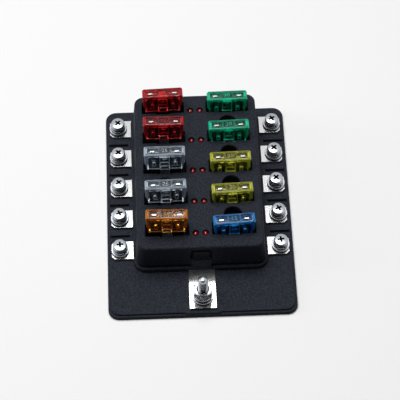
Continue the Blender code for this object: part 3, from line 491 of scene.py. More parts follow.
# Housing: one hollow moulding in the same plastic, with a flange on the base, a dark
# groove above it and a softly rounded body. Its top has the ten fuse sockets, a finger
# recess behind each but the back ones, and the sunk channel of the lamps.
HOUSING_TOP = 0.0212
FLANGE_SIZE = (0.0624, 0.0888)
FLANGE_Z = (0.0033, 0.0057)
FLANGE_CORNER = 0.0060
FLANGE_ROUND = 0.0005
NECK_SIZE = (0.0576, 0.0840)
NECK_TOP = 0.0071
NECK_CORNER = 0.0036
BODY_SIZE = (0.0600, 0.0864)
BODY_CORNER = 0.0040
BODY_DRAFT = (0.0012, 0.0004)
BODY_ROUND = 0.0010
CAVITY_SIZE = (0.0536, 0.0800)
CAVITY_TOP = 0.0093
CEILING = 0.0188
CELL_X = (0.00515, 0.0268)
CELL_FRONT = 0.0043
CELL_BACK = 0.0117
BOARD_POCKET_HALF = 0.00395
STRIP_PASSAGE_HALF = 0.0050
FEED_STRIP_PASSAGE_HALF = 0.00635
STRIP_PASSAGE_TOP = 0.0048
STRIP_PASSAGE_INNER_X = 0.0253
FUSE_X = 0.0153
SOCKET_HALF = (0.0100, 0.00315)
NOTCH_HALF = 0.0033
NOTCH_DEPTH = 0.0006
FINGER_RADIUS = 0.0043
FINGER_BACK = 0.01165
SOCKET_FLARE = 0.00022
SOCKET_DEPTH = 0.0050
CHANNEL_HALF = 0.0047
CHANNEL_DEPTH = 0.0004
CHANNEL_CORNER = 0.0018
CHANNEL_FRONT_Y = -0.0310
LAMP_SPACING = 0.0046
LAMP_SETBACK = 0.0018
LAMP_HOLE_RADIUS = 0.0015
LAMP_HOLE_FLARE = 0.00018
CATCH_HALF = 0.0050
CATCH_Z = (0.0118, 0.0188)
CATCH_BACK_Y = -0.0321
CATCH_NOSE_HALF = 0.0040
CATCH_NOSE_Z = (0.0114, 0.0170)
CATCH_NOSE_Y = (-0.0330, -0.0303)
CATCH_NOSE_ROUND = 0.0004
WEB_HALF = 0.0047
WEB_Z = (0.0053, 0.0108)
WEB_Y = (-0.0344, -0.0316)
WEB_ROUND = 0.0003


def risen_verts(builder, faces):
    """Extrudes faces in place; the new points are returned, to be moved."""
    risen = bmesh.ops.extrude_face_region(builder, geom=faces)["geom"]
    return [g for g in risen if isinstance(g, bmesh.types.BMVert)]


def flared(builder, z_top, flare):
    """Raises a cutter's flat top from z_top at 45 degrees, through the surface flare above."""
    top = [f for f in builder.faces if all(v.co.z > z_top - 2 * flare for v in f.verts)]
    centre = top[0].calc_center_bounds()
    half = Vector((max(abs(v.co.x - centre.x) for v in top[0].verts),
                   max(abs(v.co.y - centre.y) for v in top[0].verts)))
    risen = risen_verts(builder, top)
    bmesh.ops.delete(builder, geom=top, context="FACES_ONLY")
    for vert in risen:
        vert.co.x += (vert.co.x - centre.x) / half.x * 2 * flare
        vert.co.y += (vert.co.y - centre.y) / half.y * 2 * flare
        vert.co.z += 2 * flare
    return builder


def socket_cutters(row, x):
    """Slot, front notch and finger recess, each with a softened mouth."""
    y = row_y(row)
    z_range = (HOUSING_TOP - SOCKET_DEPTH, HOUSING_TOP - SOCKET_FLARE)
    slot = block(span(SOCKET_HALF[0], x), span(SOCKET_HALF[1], y), z_range)
    notch = block(span(NOTCH_HALF, x), (y - SOCKET_HALF[1] - NOTCH_DEPTH, y), z_range)
    cutters = [slot, notch]
    if row > 1:
        finger = block(span(FINGER_RADIUS, x), (y, y + FINGER_BACK), z_range)
        corners = [e for e in upright_edges(finger) if e.verts[0].co.y > y + FINGER_RADIUS]
        # A hair under the full radius, so that the two rounds don't meet in one point.
        round_edges(finger, corners, FINGER_RADIUS * 0.99, 14)
        cutters.append(finger)
    return [flared(cutter, HOUSING_TOP - SOCKET_FLARE, SOCKET_FLARE) for cutter in cutters]


def lamp_centres():
    return [
        (sign * LAMP_SPACING / 2, row_y(row) - LAMP_SETBACK)
        for row in range(1, ROWS + 1) for _, sign in SIDES]


def channel_cutter():
    """The lamps' channel, open at the back and with round corners at the front."""
    back = HOUSING_CENTRE_Y + BODY_SIZE[1] / 2
    floor = HOUSING_TOP - CHANNEL_DEPTH
    builder = block(
        span(CHANNEL_HALF), (CHANNEL_FRONT_Y, back), (floor, HOUSING_TOP + CHANNEL_DEPTH))
    corners = [e for e in upright_edges(builder) if e.verts[0].co.y < 0.0]
    round_edges(builder, corners, CHANNEL_CORNER, 8)
    return builder


def make_housing():
    flange = rounded_slab(FLANGE_SIZE, FLANGE_Z, FLANGE_CORNER, HOUSING_CENTRE_Y, edge=FLANGE_ROUND)
    overlap = (NECK_TOP - FLANGE_Z[1]) / 2
    neck = rounded_slab(
        NECK_SIZE, (FLANGE_Z[1] - overlap, NECK_TOP + overlap), NECK_CORNER, HOUSING_CENTRE_Y)
    body = rounded_slab(
        BODY_SIZE, (NECK_TOP, HOUSING_TOP), BODY_CORNER, HOUSING_CENTRE_Y, BODY_DRAFT,
        BODY_ROUND, 6)
    outside = HOUSING_CENTRE_Y - FLANGE_SIZE[1] / 2
    pocket = block(span(CATCH_HALF), (outside, CATCH_BACK_Y), CATCH_Z)
    nose = block(span(CATCH_NOSE_HALF), CATCH_NOSE_Y, CATCH_NOSE_Z)
    web = block(span(WEB_HALF), WEB_Y, WEB_Z)
    for shape, y_range, radius, segments in (
            (nose, CATCH_NOSE_Y, CATCH_NOSE_ROUND, 4), (web, WEB_Y, WEB_ROUND, 3)):
        face = [e for e in shape.edges if all(v.co.y < sum(y_range) / 2 for v in e.verts)]
        round_edges(shape, face, radius, segments)

    half_x, half_y = CAVITY_SIZE[0] / 2, CAVITY_SIZE[1] / 2
    front, back = HOUSING_CENTRE_Y - half_y, HOUSING_CENTRE_Y + half_y
    cavity = block(span(half_x), (front, back), (0.0, CAVITY_TOP))
    hollow_z = (FLANGE_Z[1], CEILING)
    hollows = [block(span(BOARD_POCKET_HALF), (front, back), hollow_z)]
    passage_z = (0.0, STRIP_PASSAGE_TOP)
    passages = [block(span(FEED_STRIP_PASSAGE_HALF),
                      (front - CAVITY_TOP, front + RAIL_THICKNESS), passage_z)]
    sockets = []
    for row in range(1, ROWS + 1):
        y = row_y(row)
        for _, sign in SIDES:
            hollows.append(block(
                on_side(sign, CELL_X), (y - CELL_FRONT, min(y + CELL_BACK, back)), hollow_z))
            passages.append(block(
                on_side(sign, (STRIP_PASSAGE_INNER_X, FLANGE_SIZE[0])),
                span(STRIP_PASSAGE_HALF, y), passage_z))
            sockets.append(socket_cutters(row, sign * FUSE_X))
    hole_top = HOUSING_TOP - CHANNEL_DEPTH - LAMP_HOLE_FLARE
    hole_z = (CEILING - CHANNEL_DEPTH, hole_top)
    holes = [flared(drum(LAMP_HOLE_RADIUS, hole_z, centre, 32), hole_top, LAMP_HOLE_FLARE)
             for centre in lamp_centres()]
    steps = [
        ("UNION", neck), ("UNION", body), ("DIFFERENCE", channel_cutter()),
        ("DIFFERENCE", gathered(holes)), ("DIFFERENCE", pocket), ("UNION", nose), ("UNION", web),
        ("DIFFERENCE", cavity), ("DIFFERENCE", gathered(hollows)),
        ("DIFFERENCE", gathered(passages))]
    for index in range(3):
        layer = [cutters[index] for cutters in sockets if len(cutters) > index]
        steps.append(("DIFFERENCE", gathered(layer)))
    housing = carved("moulded_housing", flange, steps)
    finished("moulded_housing", housing, [CHARCOAL_PLASTIC], "block", ["housing"])


make_housing()


# Lamp board: a narrow circuit board under the channel that carries ten clear red lamps,
# one beside each fuse. Each lamp lights when its fuse has blown.
BOARD_RED = (0.16, 0.006, 0.008)
LAMP_RED = (0.34, 0.012, 0.018)
BOARD_HALF = 0.00365
BOARD_Y = (-0.02925, 0.04935)
BOARD_Z = (0.0173, 0.0185)
BOARD_CORNER = 0.0008
LAMP_RADIUS = 0.0012
LAMP_TIP = 0.0209
LAMP_SHOULDER = 0.02005
LAMP_DOME = 0.00035
LAMP_COLLAR = 0.00015
LAMP_SEAT = 0.0003
CUP_RADIUS = 0.0006
CUP_DEPTH = 0.0004
CUP_FOOT = 0.0001
CUP_METAL = (0.80, 0.78, 0.74)
MILK_DEPTH = 0.0012
PLASTIC_SHINE = 0.2
FLOW_SCALE = 260.0
FLOW_SWIRL = 1.4
FLOW_TONES = ((0.25, 0.86), (0.75, 1.10))
FLOW_BUMP = (0.20, 0.00006)
LINE_SCALE = 2600.0
PATCH_SCALE = 330.0
PATCH_TONES = ((0.25, 0.92), (0.65, 1.06))
RIPPLE_BUMP = (0.08, 0.00002)
# Painted shade in the grooves between stacked metal parts: its level and its soft edge.
GROOVE_SHADE_LEVEL = 0.10
GROOVE_BLUR = 0.00020


def spun(profile, segments=48):
    """A solid of revolution about Z from (radius, height) points."""
    builder = bmesh.new()
    verts = [builder.verts.new((radius, 0.0, height)) for radius, height in profile]
    edges = [builder.edges.new(pair) for pair in zip(verts, verts[1:])]
    bmesh.ops.spin(
        builder, geom=verts + edges, cent=(0.0, 0.0, 0.0), axis=(0.0, 0.0, 1.0),
        dvec=(0.0, 0.0, 0.0), angle=math.tau, steps=segments, use_merge=True,
        use_duplicate=False)
    bmesh.ops.remove_doubles(builder, verts=builder.verts, dist=SAME_POINT / 2)
    return builder


def arc_points(centre, radius, start_deg, end_deg, steps):
    """Points of an arc, for a profile."""
    angles = [math.radians(start_deg + (end_deg - start_deg) * i / steps) for i in range(steps + 1)]
    return [(centre[0] + radius * math.cos(a), centre[1] + radius * math.sin(a)) for a in angles]


def moved(builder, matrix):
    bmesh.ops.transform(builder, matrix=matrix, verts=builder.verts)
    return builder


def clear_plastic(name, colour, transmission, roughness, ior=1.5, milk=0.0):
    """Dyed see-through plastic, with faint flow lines from the mould; milk clouds it."""
    material, tree, shader = new_material(
        name, Roughness=roughness, IOR=ior, Specular_IOR_Level=PLASTIC_SHINE * (1.0 - milk),
        Transmission_Weight=transmission, Subsurface_Weight=milk,
        Subsurface_Radius=(1.0, 1.0, 1.0), Subsurface_Scale=MILK_DEPTH)
    flow = noise(tree, object_place(tree), FLOW_SCALE, distortion=FLOW_SWIRL)
    set_inputs(shader, Base_Color=shaded(tree, flow, colour, *FLOW_TONES))
    bumped(tree, shader, flow, *FLOW_BUMP)
    return material


def painted_groove_shade(tree, place, colour, grooves):
    """The colour with painted shade in bands of height at the grooves between stacked parts."""
    low, high = grooves[0][0] - GROOVE_BLUR, grooves[-1][1] + GROOVE_BLUR
    split = add_node(tree, "SeparateXYZ", Vector=place)
    height = ranged(tree, split.outputs["Z"], From_Min=low, From_Max=high)
    shade = add_node(tree, "ValToRGB", Fac=height)
    stops = shade.color_ramp.elements
    stops[0].color = stops[1].color = WHITE
    for bottom, top in grooves:
        for z, level in ((bottom, GROOVE_SHADE_LEVEL), (top, GROOVE_SHADE_LEVEL), (top + GROOVE_BLUR / 2, 1.0),
                         (bottom - GROOVE_BLUR / 2, 1.0)):
            stop = stops.new((z - low) / (high - low))
            stop.color = (level, level, level, 1.0)
    return mixed(tree, 1.0, colour, shade.outputs["Color"], "MULTIPLY")


def plated_metal(name, colour, roughness, lines=(1.0, 1.0, 1.0), streak=0.10, grooves=()):
    """Plated metal with faint drawing lines, dull patches and a fine ripple; any grooves get
    painted shade.
    """
    material, tree, shader = new_material(name, Metallic=1.0)
    place = object_place(tree)
    stretch = add_node(tree, "Mapping", Vector=place, Scale=lines)
    fine = noise(tree, stretch.outputs["Vector"], LINE_SCALE)
    patch = noise(tree, place, PATCH_SCALE, 4.0)
    plated = shaded(tree, patch, colour, *PATCH_TONES)
    if grooves:
        plated = painted_groove_shade(tree, place, plated, grooves)
    dull = ranged(tree, patch, To_Min=roughness + streak / 2, To_Max=roughness - streak / 2)
    set_inputs(shader, Base_Color=plated, Roughness=dull)
    bumped(tree, shader, fine, *RIPPLE_BUMP)
    return material


def make_lamp_board():
    board = block(span(BOARD_HALF), BOARD_Y, BOARD_Z)
    round_edges(board, upright_edges(board), BOARD_CORNER, 4)
    lacquer = moulded_grain("board_lacquer", BOARD_RED, 0.35, 0.5)
    finished("lamp_circuit_board", board, [lacquer], "block", ["lamp_board"])
    top = BOARD_Z[1]
    lens = [(0.0, LAMP_TIP)]
    lens += arc_points((0.0, LAMP_SHOULDER - LAMP_DOME), LAMP_RADIUS, 78.0, 0.0, 8)
    lens += [(LAMP_RADIUS, top), (LAMP_RADIUS + LAMP_COLLAR, top),
             (LAMP_RADIUS + LAMP_COLLAR, top - LAMP_SEAT), (0.0, top - LAMP_SEAT)]
    bowl = LAMP_SHOULDER - CUP_DEPTH
    cup = [(0.0, bowl), (CUP_RADIUS / 2, bowl), (CUP_RADIUS, LAMP_SHOULDER),
           (CUP_RADIUS, top + CUP_FOOT), (0.0, top + CUP_FOOT)]
    places = [Matrix.Translation((x, y, 0.0)) for x, y in lamp_centres()]
    lenses = gathered([moved(spun(lens, 28), place) for place in places])
    cups = gathered([moved(spun(cup, 12), place) for place in places])
    epoxy = clear_plastic("lamp_epoxy", LAMP_RED, 0.75, 0.10)
    finished("lamp_lenses", lenses, [epoxy], "block")
    metal = plated_metal("lamp_cup_metal", CUP_METAL, 0.25)
    finished("lamp_cups", cups, [metal], "block")


make_lamp_board()


# Contacts: the bus bar with its feed tab, and ten outer strips with a screw tab at the
# end and a spring clip inside. They are stamped from brass strip and tinned bright.
TIN = (0.56, 0.57, 0.57)
# Painted shade: a near-black tin for the faces of the contacts inside the housing.
CELL_TIN_PAINTED_SHADE = (0.05, 0.05, 0.05)
SHEARED_EDGE = 0.00010


def hard_edges(builder, angle_deg):
    angle = math.radians(angle_deg)
    return [e for e in builder.edges if e.is_manifold and e.calc_face_angle() > angle]


def softened(node, radius):
    """A copy of a CAD node, merged, with its sharp edges rounded."""
    builder = opened(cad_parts[node].data)
    bmesh.ops.remove_doubles(builder, verts=builder.verts, dist=SAME_POINT)
    bmesh.ops.dissolve_limit(
        builder, angle_limit=math.radians(1.0), verts=builder.verts, edges=builder.edges)
    round_edges(builder, hard_edges(builder, 30.0), radius, 2)
    return builder


def split_at(builder, point, normal):
    """Cuts all faces along a plane and keeps both sides."""
    bmesh.ops.bisect_plane(
        builder, geom=builder.verts[:] + builder.edges[:] + builder.faces[:], plane_co=point,
        plane_no=normal, clear_inner=False, clear_outer=False)


def paint_shade_beyond(builder, plane):
    """Splits a shape at a (point, normal) and gives its far side the second material, which is
    painted shade.
    """
    point, normal = plane
    split_at(builder, point, normal)
    for face in builder.faces:
        beyond = (face.calc_center_median() - Vector(point)).dot(Vector(normal)) > 0.0
        face.material_index = int(beyond)
    return builder


def make_contacts():
    # The second tin is painted shade, given to the faces inside the housing's cavity walls.
    tin = [plated_metal("bright_tin", TIN, 0.17, (1.0, 12.0, 1.0)),
           plated_metal("cell_tin_painted_shade", CELL_TIN_PAINTED_SHADE, 0.40)]
    front = HOUSING_CENTRE_Y - CAVITY_SIZE[1] / 2
    bar = paint_shade_beyond(softened("bus_bar", SHEARED_EDGE), ((0.0, front, 0.0), (0.0, 1.0, 0.0)))
    finished("feed_bus_bar", bar, tin, "block", ["bus_bar"])
    for side, sign in SIDES:
        wall = ((sign * CAVITY_SIZE[0] / 2, 0.0, 0.0), (-sign, 0.0, 0.0))
        for row in range(1, ROWS + 1):
            node = f"terminal_{side}_{row}"
            strip = paint_shade_beyond(softened(node, SHEARED_EDGE), wall)
            finished(f"contact_{side}_{row}", strip, tin, "block", [node])


make_contacts()


# Terminal screws: zinc-plated steel with a domed cheese head and a cross recess. Each
# holds a split spring washer and a flat washer, and clamps a wire to its tab.
ZINC = (0.37, 0.39, 0.42)
SHADE = (0.008, 0.0085, 0.009)
SCREW_HEAD_RADIUS = 0.0032
SCREW_HEAD_Z = (0.0069, 0.0099)
SCREW_HEAD_ROUND = 0.0005
SCREW_HEAD_FOOT = 0.00015
SCREW_DOME = 0.0003
SCREW_DOME_STEPS = ((0.30, 0.10), (0.55, 0.42))
SCREW_SHANK_RADIUS = 0.0020
SCREW_THREAD_DEPTH = 0.00038
SCREW_PITCH = 0.0007
SCREW_TIP_Z = 0.0009
SCREW_POINT = 0.0004
SCREW_OVERLAP = 0.0001
THREAD_FOOT = 0.46
THREAD_CREST = 0.10
THREAD_BITE = 0.3
RECESS_HALF_SPAN = 0.0018
RECESS_HALF_WIDTH = 0.00054
RECESS_DEPTH = 0.0015
RECESS_TAPER = (0.50, 0.62)
RECESS_MIDDLE = 0.40
SHADE_BELOW = 0.00021
WASHER_RADIUS = 0.0042
WASHER_BORE_RADIUS = 0.0023
WASHER_Z = (0.0048, 0.0056)
WASHER_ROUND = 0.00018
SPRING_RADIUS = 0.00345
SPRING_BORE_RADIUS = 0.00245
SPRING_Z = (0.0056, 0.0066)
SPRING_SPLIT_HALF = 0.00035
SPRING_SPLIT_SLANT = 0.6
SPRING_SPLIT_DEG = -60.0
SCREW_GROOVES = ((0.0048, 0.0052), (0.0057, 0.0060), (0.0067, 0.0073))
RECESS_TURN_DEG = {"left": (50.0, 42.0, 38.0, 20.0, 3.0), "right": (30.0, 45.0, 43.0, 25.0, 8.0)}


def ring(outer, inner, z_range, edge, segments=48):
    """A washer with its four rims rounded."""
    low, high = z_range
    profile = [
        (inner + edge, low), (outer - edge, low), (outer, low + edge), (outer, high - edge),
        (outer - edge, high), (inner + edge, high), (inner, high - edge), (inner, low + edge),
        (inner + edge, low)]
    return spun(profile, segments)


def split_ring(outer, inner, z_range, edge, turn_deg):
    """A spring washer: a ring with a slanted gap."""
    low, high = z_range
    middle = Matrix.Translation((0.0, 0.0, (low + high) / 2))
    gap = block((0.0, 2 * outer), span(SPRING_SPLIT_HALF), (low - edge, high + edge))
    moved(gap, middle @ Matrix.Shear("XY", 4, (0.0, SPRING_SPLIT_SLANT)) @ middle.inverted())
    moved(gap, Matrix.Rotation(math.radians(turn_deg), 4, "Z"))
    return carved("spring", ring(outer, inner, z_range, edge), [("DIFFERENCE", gap)])


def threaded_rod(radius, depth, pitch, z_range, bottom, top, segments=20):
    """A core with a helical ridge; bottom and top are the profile points of its ends."""
    low, high = z_range
    root = radius - depth
    core = spun(top + [(root, high), (root, low)] + bottom, segments * 2)
    foot, crest = pitch * THREAD_FOOT, pitch * THREAD_CREST
    inside = root - depth * THREAD_BITE
    turns = (high - low - pitch) / pitch
    steps = max(4, round(turns * segments))
    ridge = bmesh.new()
    points = [(inside, -foot), (radius, -crest), (radius, crest), (inside, foot)]
    face = ridge.faces.new([ridge.verts.new((r, 0.0, low + pitch / 2 + z)) for r, z in points])
    bmesh.ops.spin(
        ridge, geom=[face], cent=(0.0, 0.0, 0.0), axis=(0.0, 0.0, 1.0),
        dvec=(0.0, 0.0, turns * pitch / steps), angle=math.tau * turns, steps=steps,
        use_merge=False, use_duplicate=False)
    return carved("thread", core, [("UNION", ridge)])


def recess_cutter():
    """The cross recess: two tapered wings and a pointed middle."""
    top = SCREW_HEAD_Z[1]
    wings = []
    for turn in (0.0, math.pi / 2):
        wing = block(span(RECESS_HALF_SPAN), span(RECESS_HALF_WIDTH),
                     (top - RECESS_DEPTH, top + SCREW_DOME))
        for vert in wing.verts:
            if vert.co.z < top:
                vert.co.x *= RECESS_TAPER[0]
                vert.co.y *= RECESS_TAPER[1]
        wings.append(moved(wing, Matrix.Rotation(turn, 4, "Z")))
    point = bmesh.new()
    bmesh.ops.create_cone(
        point, cap_ends=True, segments=24, radius1=RECESS_HALF_WIDTH,
        radius2=RECESS_HALF_SPAN * RECESS_MIDDLE, depth=RECESS_DEPTH + SCREW_DOME,
        matrix=Matrix.Translation((0.0, 0.0, top - (RECESS_DEPTH - SCREW_DOME) / 2)))
    return [("DIFFERENCE", cutter) for cutter in (*wings, point)]


def screw_shape():
    low, high = SCREW_HEAD_Z
    radius, edge = SCREW_HEAD_RADIUS, SCREW_HEAD_ROUND
    head = [(0.0, high)]
    head += [(radius * out, high - SCREW_DOME * down) for out, down in SCREW_DOME_STEPS]
    head += arc_points((radius - edge, high - SCREW_DOME - edge), edge, 80.0, 0.0, 7)
    head += [(radius, low + SCREW_HEAD_FOOT), (radius - SCREW_HEAD_FOOT, low), (0.0, low)]
    root = SCREW_SHANK_RADIUS - SCREW_THREAD_DEPTH
    shank = threaded_rod(
        SCREW_SHANK_RADIUS, SCREW_THREAD_DEPTH, SCREW_PITCH,
        (SCREW_TIP_Z + SCREW_POINT, low + SCREW_OVERLAP),
        [(root - SCREW_POINT, SCREW_TIP_Z), (0.0, SCREW_TIP_Z)], [(0.0, low + SCREW_OVERLAP)])
    screw = carved("screw_head", spun(head, 56), recess_cutter())
    screw = carved("terminal_screw", screw, [("UNION", shank)])
    for face in screw.faces:
        centre = face.calc_center_median()
        sunk = high - RECESS_DEPTH - SCREW_DOME < centre.z < high - SHADE_BELOW
        face.material_index = int(sunk and centre.xy.length < RECESS_HALF_SPAN)
    return screw


def make_terminal_screws():
    # The screws' zinc has painted shade in bands under the flat washer, the spring washer and the
    # head.
    zinc = [plated_metal("zinc_plate", ZINC, 0.27, streak=0.08, grooves=SCREW_GROOVES),
            plated_metal("recess_shade", SHADE, 0.45)]
    screw = to_mesh("screw", screw_shape())
    flat = to_mesh("flat", ring(WASHER_RADIUS, WASHER_BORE_RADIUS, WASHER_Z, WASHER_ROUND))
    spring = to_mesh("spring", split_ring(
        SPRING_RADIUS, SPRING_BORE_RADIUS, SPRING_Z, WASHER_ROUND, SPRING_SPLIT_DEG))
    for side, sign in SIDES:
        for row in range(1, ROWS + 1):
            key = f"{side}_{row}"
            centre = Matrix.Translation((sign * TERMINAL_X, row_y(row), 0.0))
            turn = Matrix.Rotation(math.radians(RECESS_TURN_DEG[side][row - 1]), 4, "Z")
            for name, mesh, body, place, nodes in (
                    ("cross_screw", screw, "screw", centre @ turn, [f"terminal_screw_{key}"]),
                    ("flat_washer", flat, "washers", centre, [f"terminal_washer_{key}"]),
                    ("spring_washer", spring, "washers", centre, [])):
                finished(f"{name}_{key}", moved(opened(mesh), place), zinc, f"{body}_{key}",
                         nodes)


make_terminal_screws()


# Feed stud: a threaded steel stud through the feed tab, with a flat washer, a spring
# washer and a hexagon nut that clamp the supply cable.
STUD_RADIUS = 0.0024
STUD_TOP = 0.0206
STUD_DOME = 0.0011
STUD_DOME_STEPS = ((0.5, 0.18), (0.85, 0.55))
STUD_PITCH = 0.0008
STUD_THREAD_DEPTH = 0.00036
STUD_HEAD_RADIUS = 0.0050
STUD_HEAD_Z = (0.0016, 0.0030)
STUD_HEAD_EDGE = 0.0002
FEED_BORE_RADIUS = 0.0027
FEED_WASHER_RADIUS = 0.0049
FEED_WASHER_Z = (0.0048, 0.0058)
FEED_SPRING_RADIUS = 0.0042
FEED_SPRING_Z = (0.0061, 0.0073)
FEED_SPRING_SPLIT_DEG = -35.0
STUD_GROOVES = ((0.0048, 0.0051), (0.00595, 0.00635), (0.0074, 0.0079))
NUT_HALF_FLATS = 0.0040
NUT_Z = (0.0076, 0.0116)
NUT_CHAMFER = 0.00045
NUT_BORE_ROUND = 0.00025


def make_feed_stud():
    # The stud's zinc has painted shade in bands under the flat washer, the spring washer and the
    # nut.
    zinc = [plated_metal("stud_zinc", ZINC, 0.22, streak=0.08, grooves=STUD_GROOVES)]
    centre = Matrix.Translation((0.0, STUD_Y, 0.0))
    root = STUD_RADIUS - STUD_THREAD_DEPTH
    low, high = STUD_HEAD_Z
    radius, edge = STUD_HEAD_RADIUS, STUD_HEAD_EDGE
    dome = [(0.0, STUD_TOP)]
    dome += [(root * out, STUD_TOP - STUD_DOME * down) for out, down in STUD_DOME_STEPS]
    stud = threaded_rod(
        STUD_RADIUS, STUD_THREAD_DEPTH, STUD_PITCH, (high, STUD_TOP - STUD_DOME),
        [(root, high - edge), (0.0, high - edge)], dome, 28)
    head = spun([(0.0, high), (radius - edge, high), (radius, high - edge), (radius, low + edge),
                 (radius - edge, low), (0.0, low)])
    stud = carved("stud", stud, [("UNION", head)])
    finished("threaded_stud", moved(stud, centre), zinc, "block", ["feed_stud"])
    washer = ring(FEED_WASHER_RADIUS, FEED_BORE_RADIUS, FEED_WASHER_Z, WASHER_ROUND, 64)
    finished("stud_flat_washer", moved(washer, centre), zinc, "block", ["feed_flat_washer"])
    spring = split_ring(FEED_SPRING_RADIUS, FEED_BORE_RADIUS, FEED_SPRING_Z, WASHER_ROUND,
                        FEED_SPRING_SPLIT_DEG)
    finished("stud_spring_washer", moved(spring, centre), zinc, "nut_washer",
             ["feed_spring_washer"])

    low, high = NUT_Z
    corner = NUT_HALF_FLATS / math.cos(math.pi / 6)
    flat, outside = NUT_HALF_FLATS - NUT_CHAMFER / 3, corner + NUT_CHAMFER
    envelope = spun([(0.0, high), (flat, high), (outside, high - 2 * NUT_CHAMFER),
                     (outside, low + 2 * NUT_CHAMFER), (flat, low), (0.0, low)], 72)
    mouth = FEED_BORE_RADIUS + NUT_BORE_ROUND + NUT_CHAMFER
    bore = spun([(0.0, high + NUT_CHAMFER), (mouth, high + NUT_CHAMFER),
                 (FEED_BORE_RADIUS, high - NUT_BORE_ROUND),
                 (FEED_BORE_RADIUS, low + NUT_BORE_ROUND),
                 (mouth, low - NUT_CHAMFER), (0.0, low - NUT_CHAMFER)])
    nut = drum(corner, NUT_Z, segments=6)
    nut = carved("nut", nut, [("INTERSECT", envelope), ("DIFFERENCE", bore)])
    finished("hexagon_nut", moved(nut, centre), zinc, "nut", ["feed_nut"])


make_feed_stud()


# Blade fuses: a thin shell moulded in dyed clear plastic round one stamped element. The
# head carries the rating and two test points; below it the blades show through the walls.
FUSE_SIZE = (0.0191, 0.0051, 0.0120)
HEAD_HEIGHT = 0.0019
HEAD_CORNER = 0.0012
HEAD_ROUND = 0.00045
WAIST_SIZE = (0.0187, 0.0041)
WAIST_CHAMFER = (0.0014, 0.0044)
SKIRT_ROUND = 0.00036
FOOT_HEIGHT = 0.0007
FOOT_PROUD = 0.00042
FOOT_ROUND = 0.00026
COLUMN_SIZE = (0.0048, 0.0050)
COLUMN_DROP = 0.0006
WINDOW_X = (0.0030, 0.0075)
WINDOW_Z = (-0.0106, -0.0032)
WINDOW_WALL = 0.00065
LINK_BAY_HALF = 0.00175
LINK_BAY_TOP = -0.0029
JOIN_HALF = 0.002255
BLADE_BAY_X = (0.00205, 0.00775)
BLADE_BAY_TOP = -0.0023
BLADE_BAY_HALF = 0.00055
TEST_POINT_X = 0.0057
TEST_POINT_HALF = 0.00115
VENT_HALF = 0.0019
VENT_FLOOR_HALF = 0.001843
VENT_Z = (-0.0121, -0.0096)
VENT_BAR = 0.0005
BAR_Z = (-0.0094, -0.0087)
BAR_HALF = 0.0026
PEG_X = 0.0050
PEG_Z = -0.0080
PEG_PROUD = 0.00038
PEG_HALF = (0.00090, 0.00150)
PEG_HOLE_HALF = (0.00042, 0.00085)
END_X = 0.0080
POCKET_X = (0.0031, 0.0088)
POCKET_HALF = 0.00175
POCKET_DEPTH = 0.00040
POCKET_CORNER = 0.0008
LABEL_HALF = (0.0025, 0.00145)
LABEL_DEPTH = 0.00030
FACES_UP = 0.9
FACES_STRAIGHT = 0.985
RATING_FONT_SIZE = 0.00308
RATING_RAISE = 0.00016
FUSE_YAW_DEG = {"left": (1.8, -0.8, 0.0, 0.9, -1.5), "right": (0.8, 1.6, 1.1, 2.2, 3.0)}
RATINGS = {"left": ("10", "10", "25", "25", "40"), "right": ("30", "30", "20", "20", "15")}
DYES = {
    "10": ("fuse_red", (0.88, 0.045, 0.055), (0.62, 0.018, 0.022)),
    "25": ("fuse_clear", (0.76, 0.86, 0.97), (0.62, 0.71, 0.82)),
    "40": ("fuse_orange", (0.85, 0.44, 0.055), (0.70, 0.24, 0.014)),
    "30": ("fuse_green", (0.03, 0.70, 0.50), (0.012, 0.80, 0.46)),
    "20": ("fuse_yellow", (0.92, 0.93, 0.20), (0.76, 0.78, 0.08)),
    "15": ("fuse_blue", (0.06, 0.46, 0.80), (0.03, 0.36, 0.86))}
BLADE_ROUND = 0.00006
BLADE_METAL = (0.70, 0.70, 0.71)
BLADE_SHADE = (0.12, 0.12, 0.12)


def upright_plate(outline, depth):
    """A plate from an outline in XZ, centred on Y."""
    builder = bmesh.new()
    verts = [builder.verts.new((x, -depth / 2, z)) for x, z in outline]
    face = builder.faces.new(verts)
    bmesh.ops.translate(builder, vec=(0.0, depth, 0.0), verts=risen_verts(builder, [face]))
    bmesh.ops.recalc_face_normals(builder, faces=builder.faces)
    return builder


def fuse_head():
    half, depth = FUSE_SIZE[0] / 2, FUSE_SIZE[1]
    outline = [(-half, -HEAD_HEIGHT), (half, -HEAD_HEIGHT)]
    outline += arc_points((half - HEAD_CORNER, -HEAD_CORNER), HEAD_CORNER, 0.0, 90.0, 8)
    outline += arc_points((-half + HEAD_CORNER, -HEAD_CORNER), HEAD_CORNER, 90.0, 180.0, 8)
    head = upright_plate(outline, depth)
    round_edges(head, hard_edges(head, 50.0), HEAD_ROUND, 3)
    return head


def top_pockets():
    """The shallow pockets that leave a rim round the head's top and round the rating."""
    pockets = []
    for _, sign in SIDES:
        pocket = block(on_side(sign, POCKET_X), span(POCKET_HALF), span(POCKET_DEPTH))
        round_edges(pocket, upright_edges(pocket), POCKET_CORNER, 6)
        pockets.append(pocket)
    label = block(span(LABEL_HALF[0]), span(LABEL_HALF[1]), span(LABEL_DEPTH))
    round_edges(label, upright_edges(label), POCKET_CORNER / 2, 5)
    return gathered(pockets + [label])


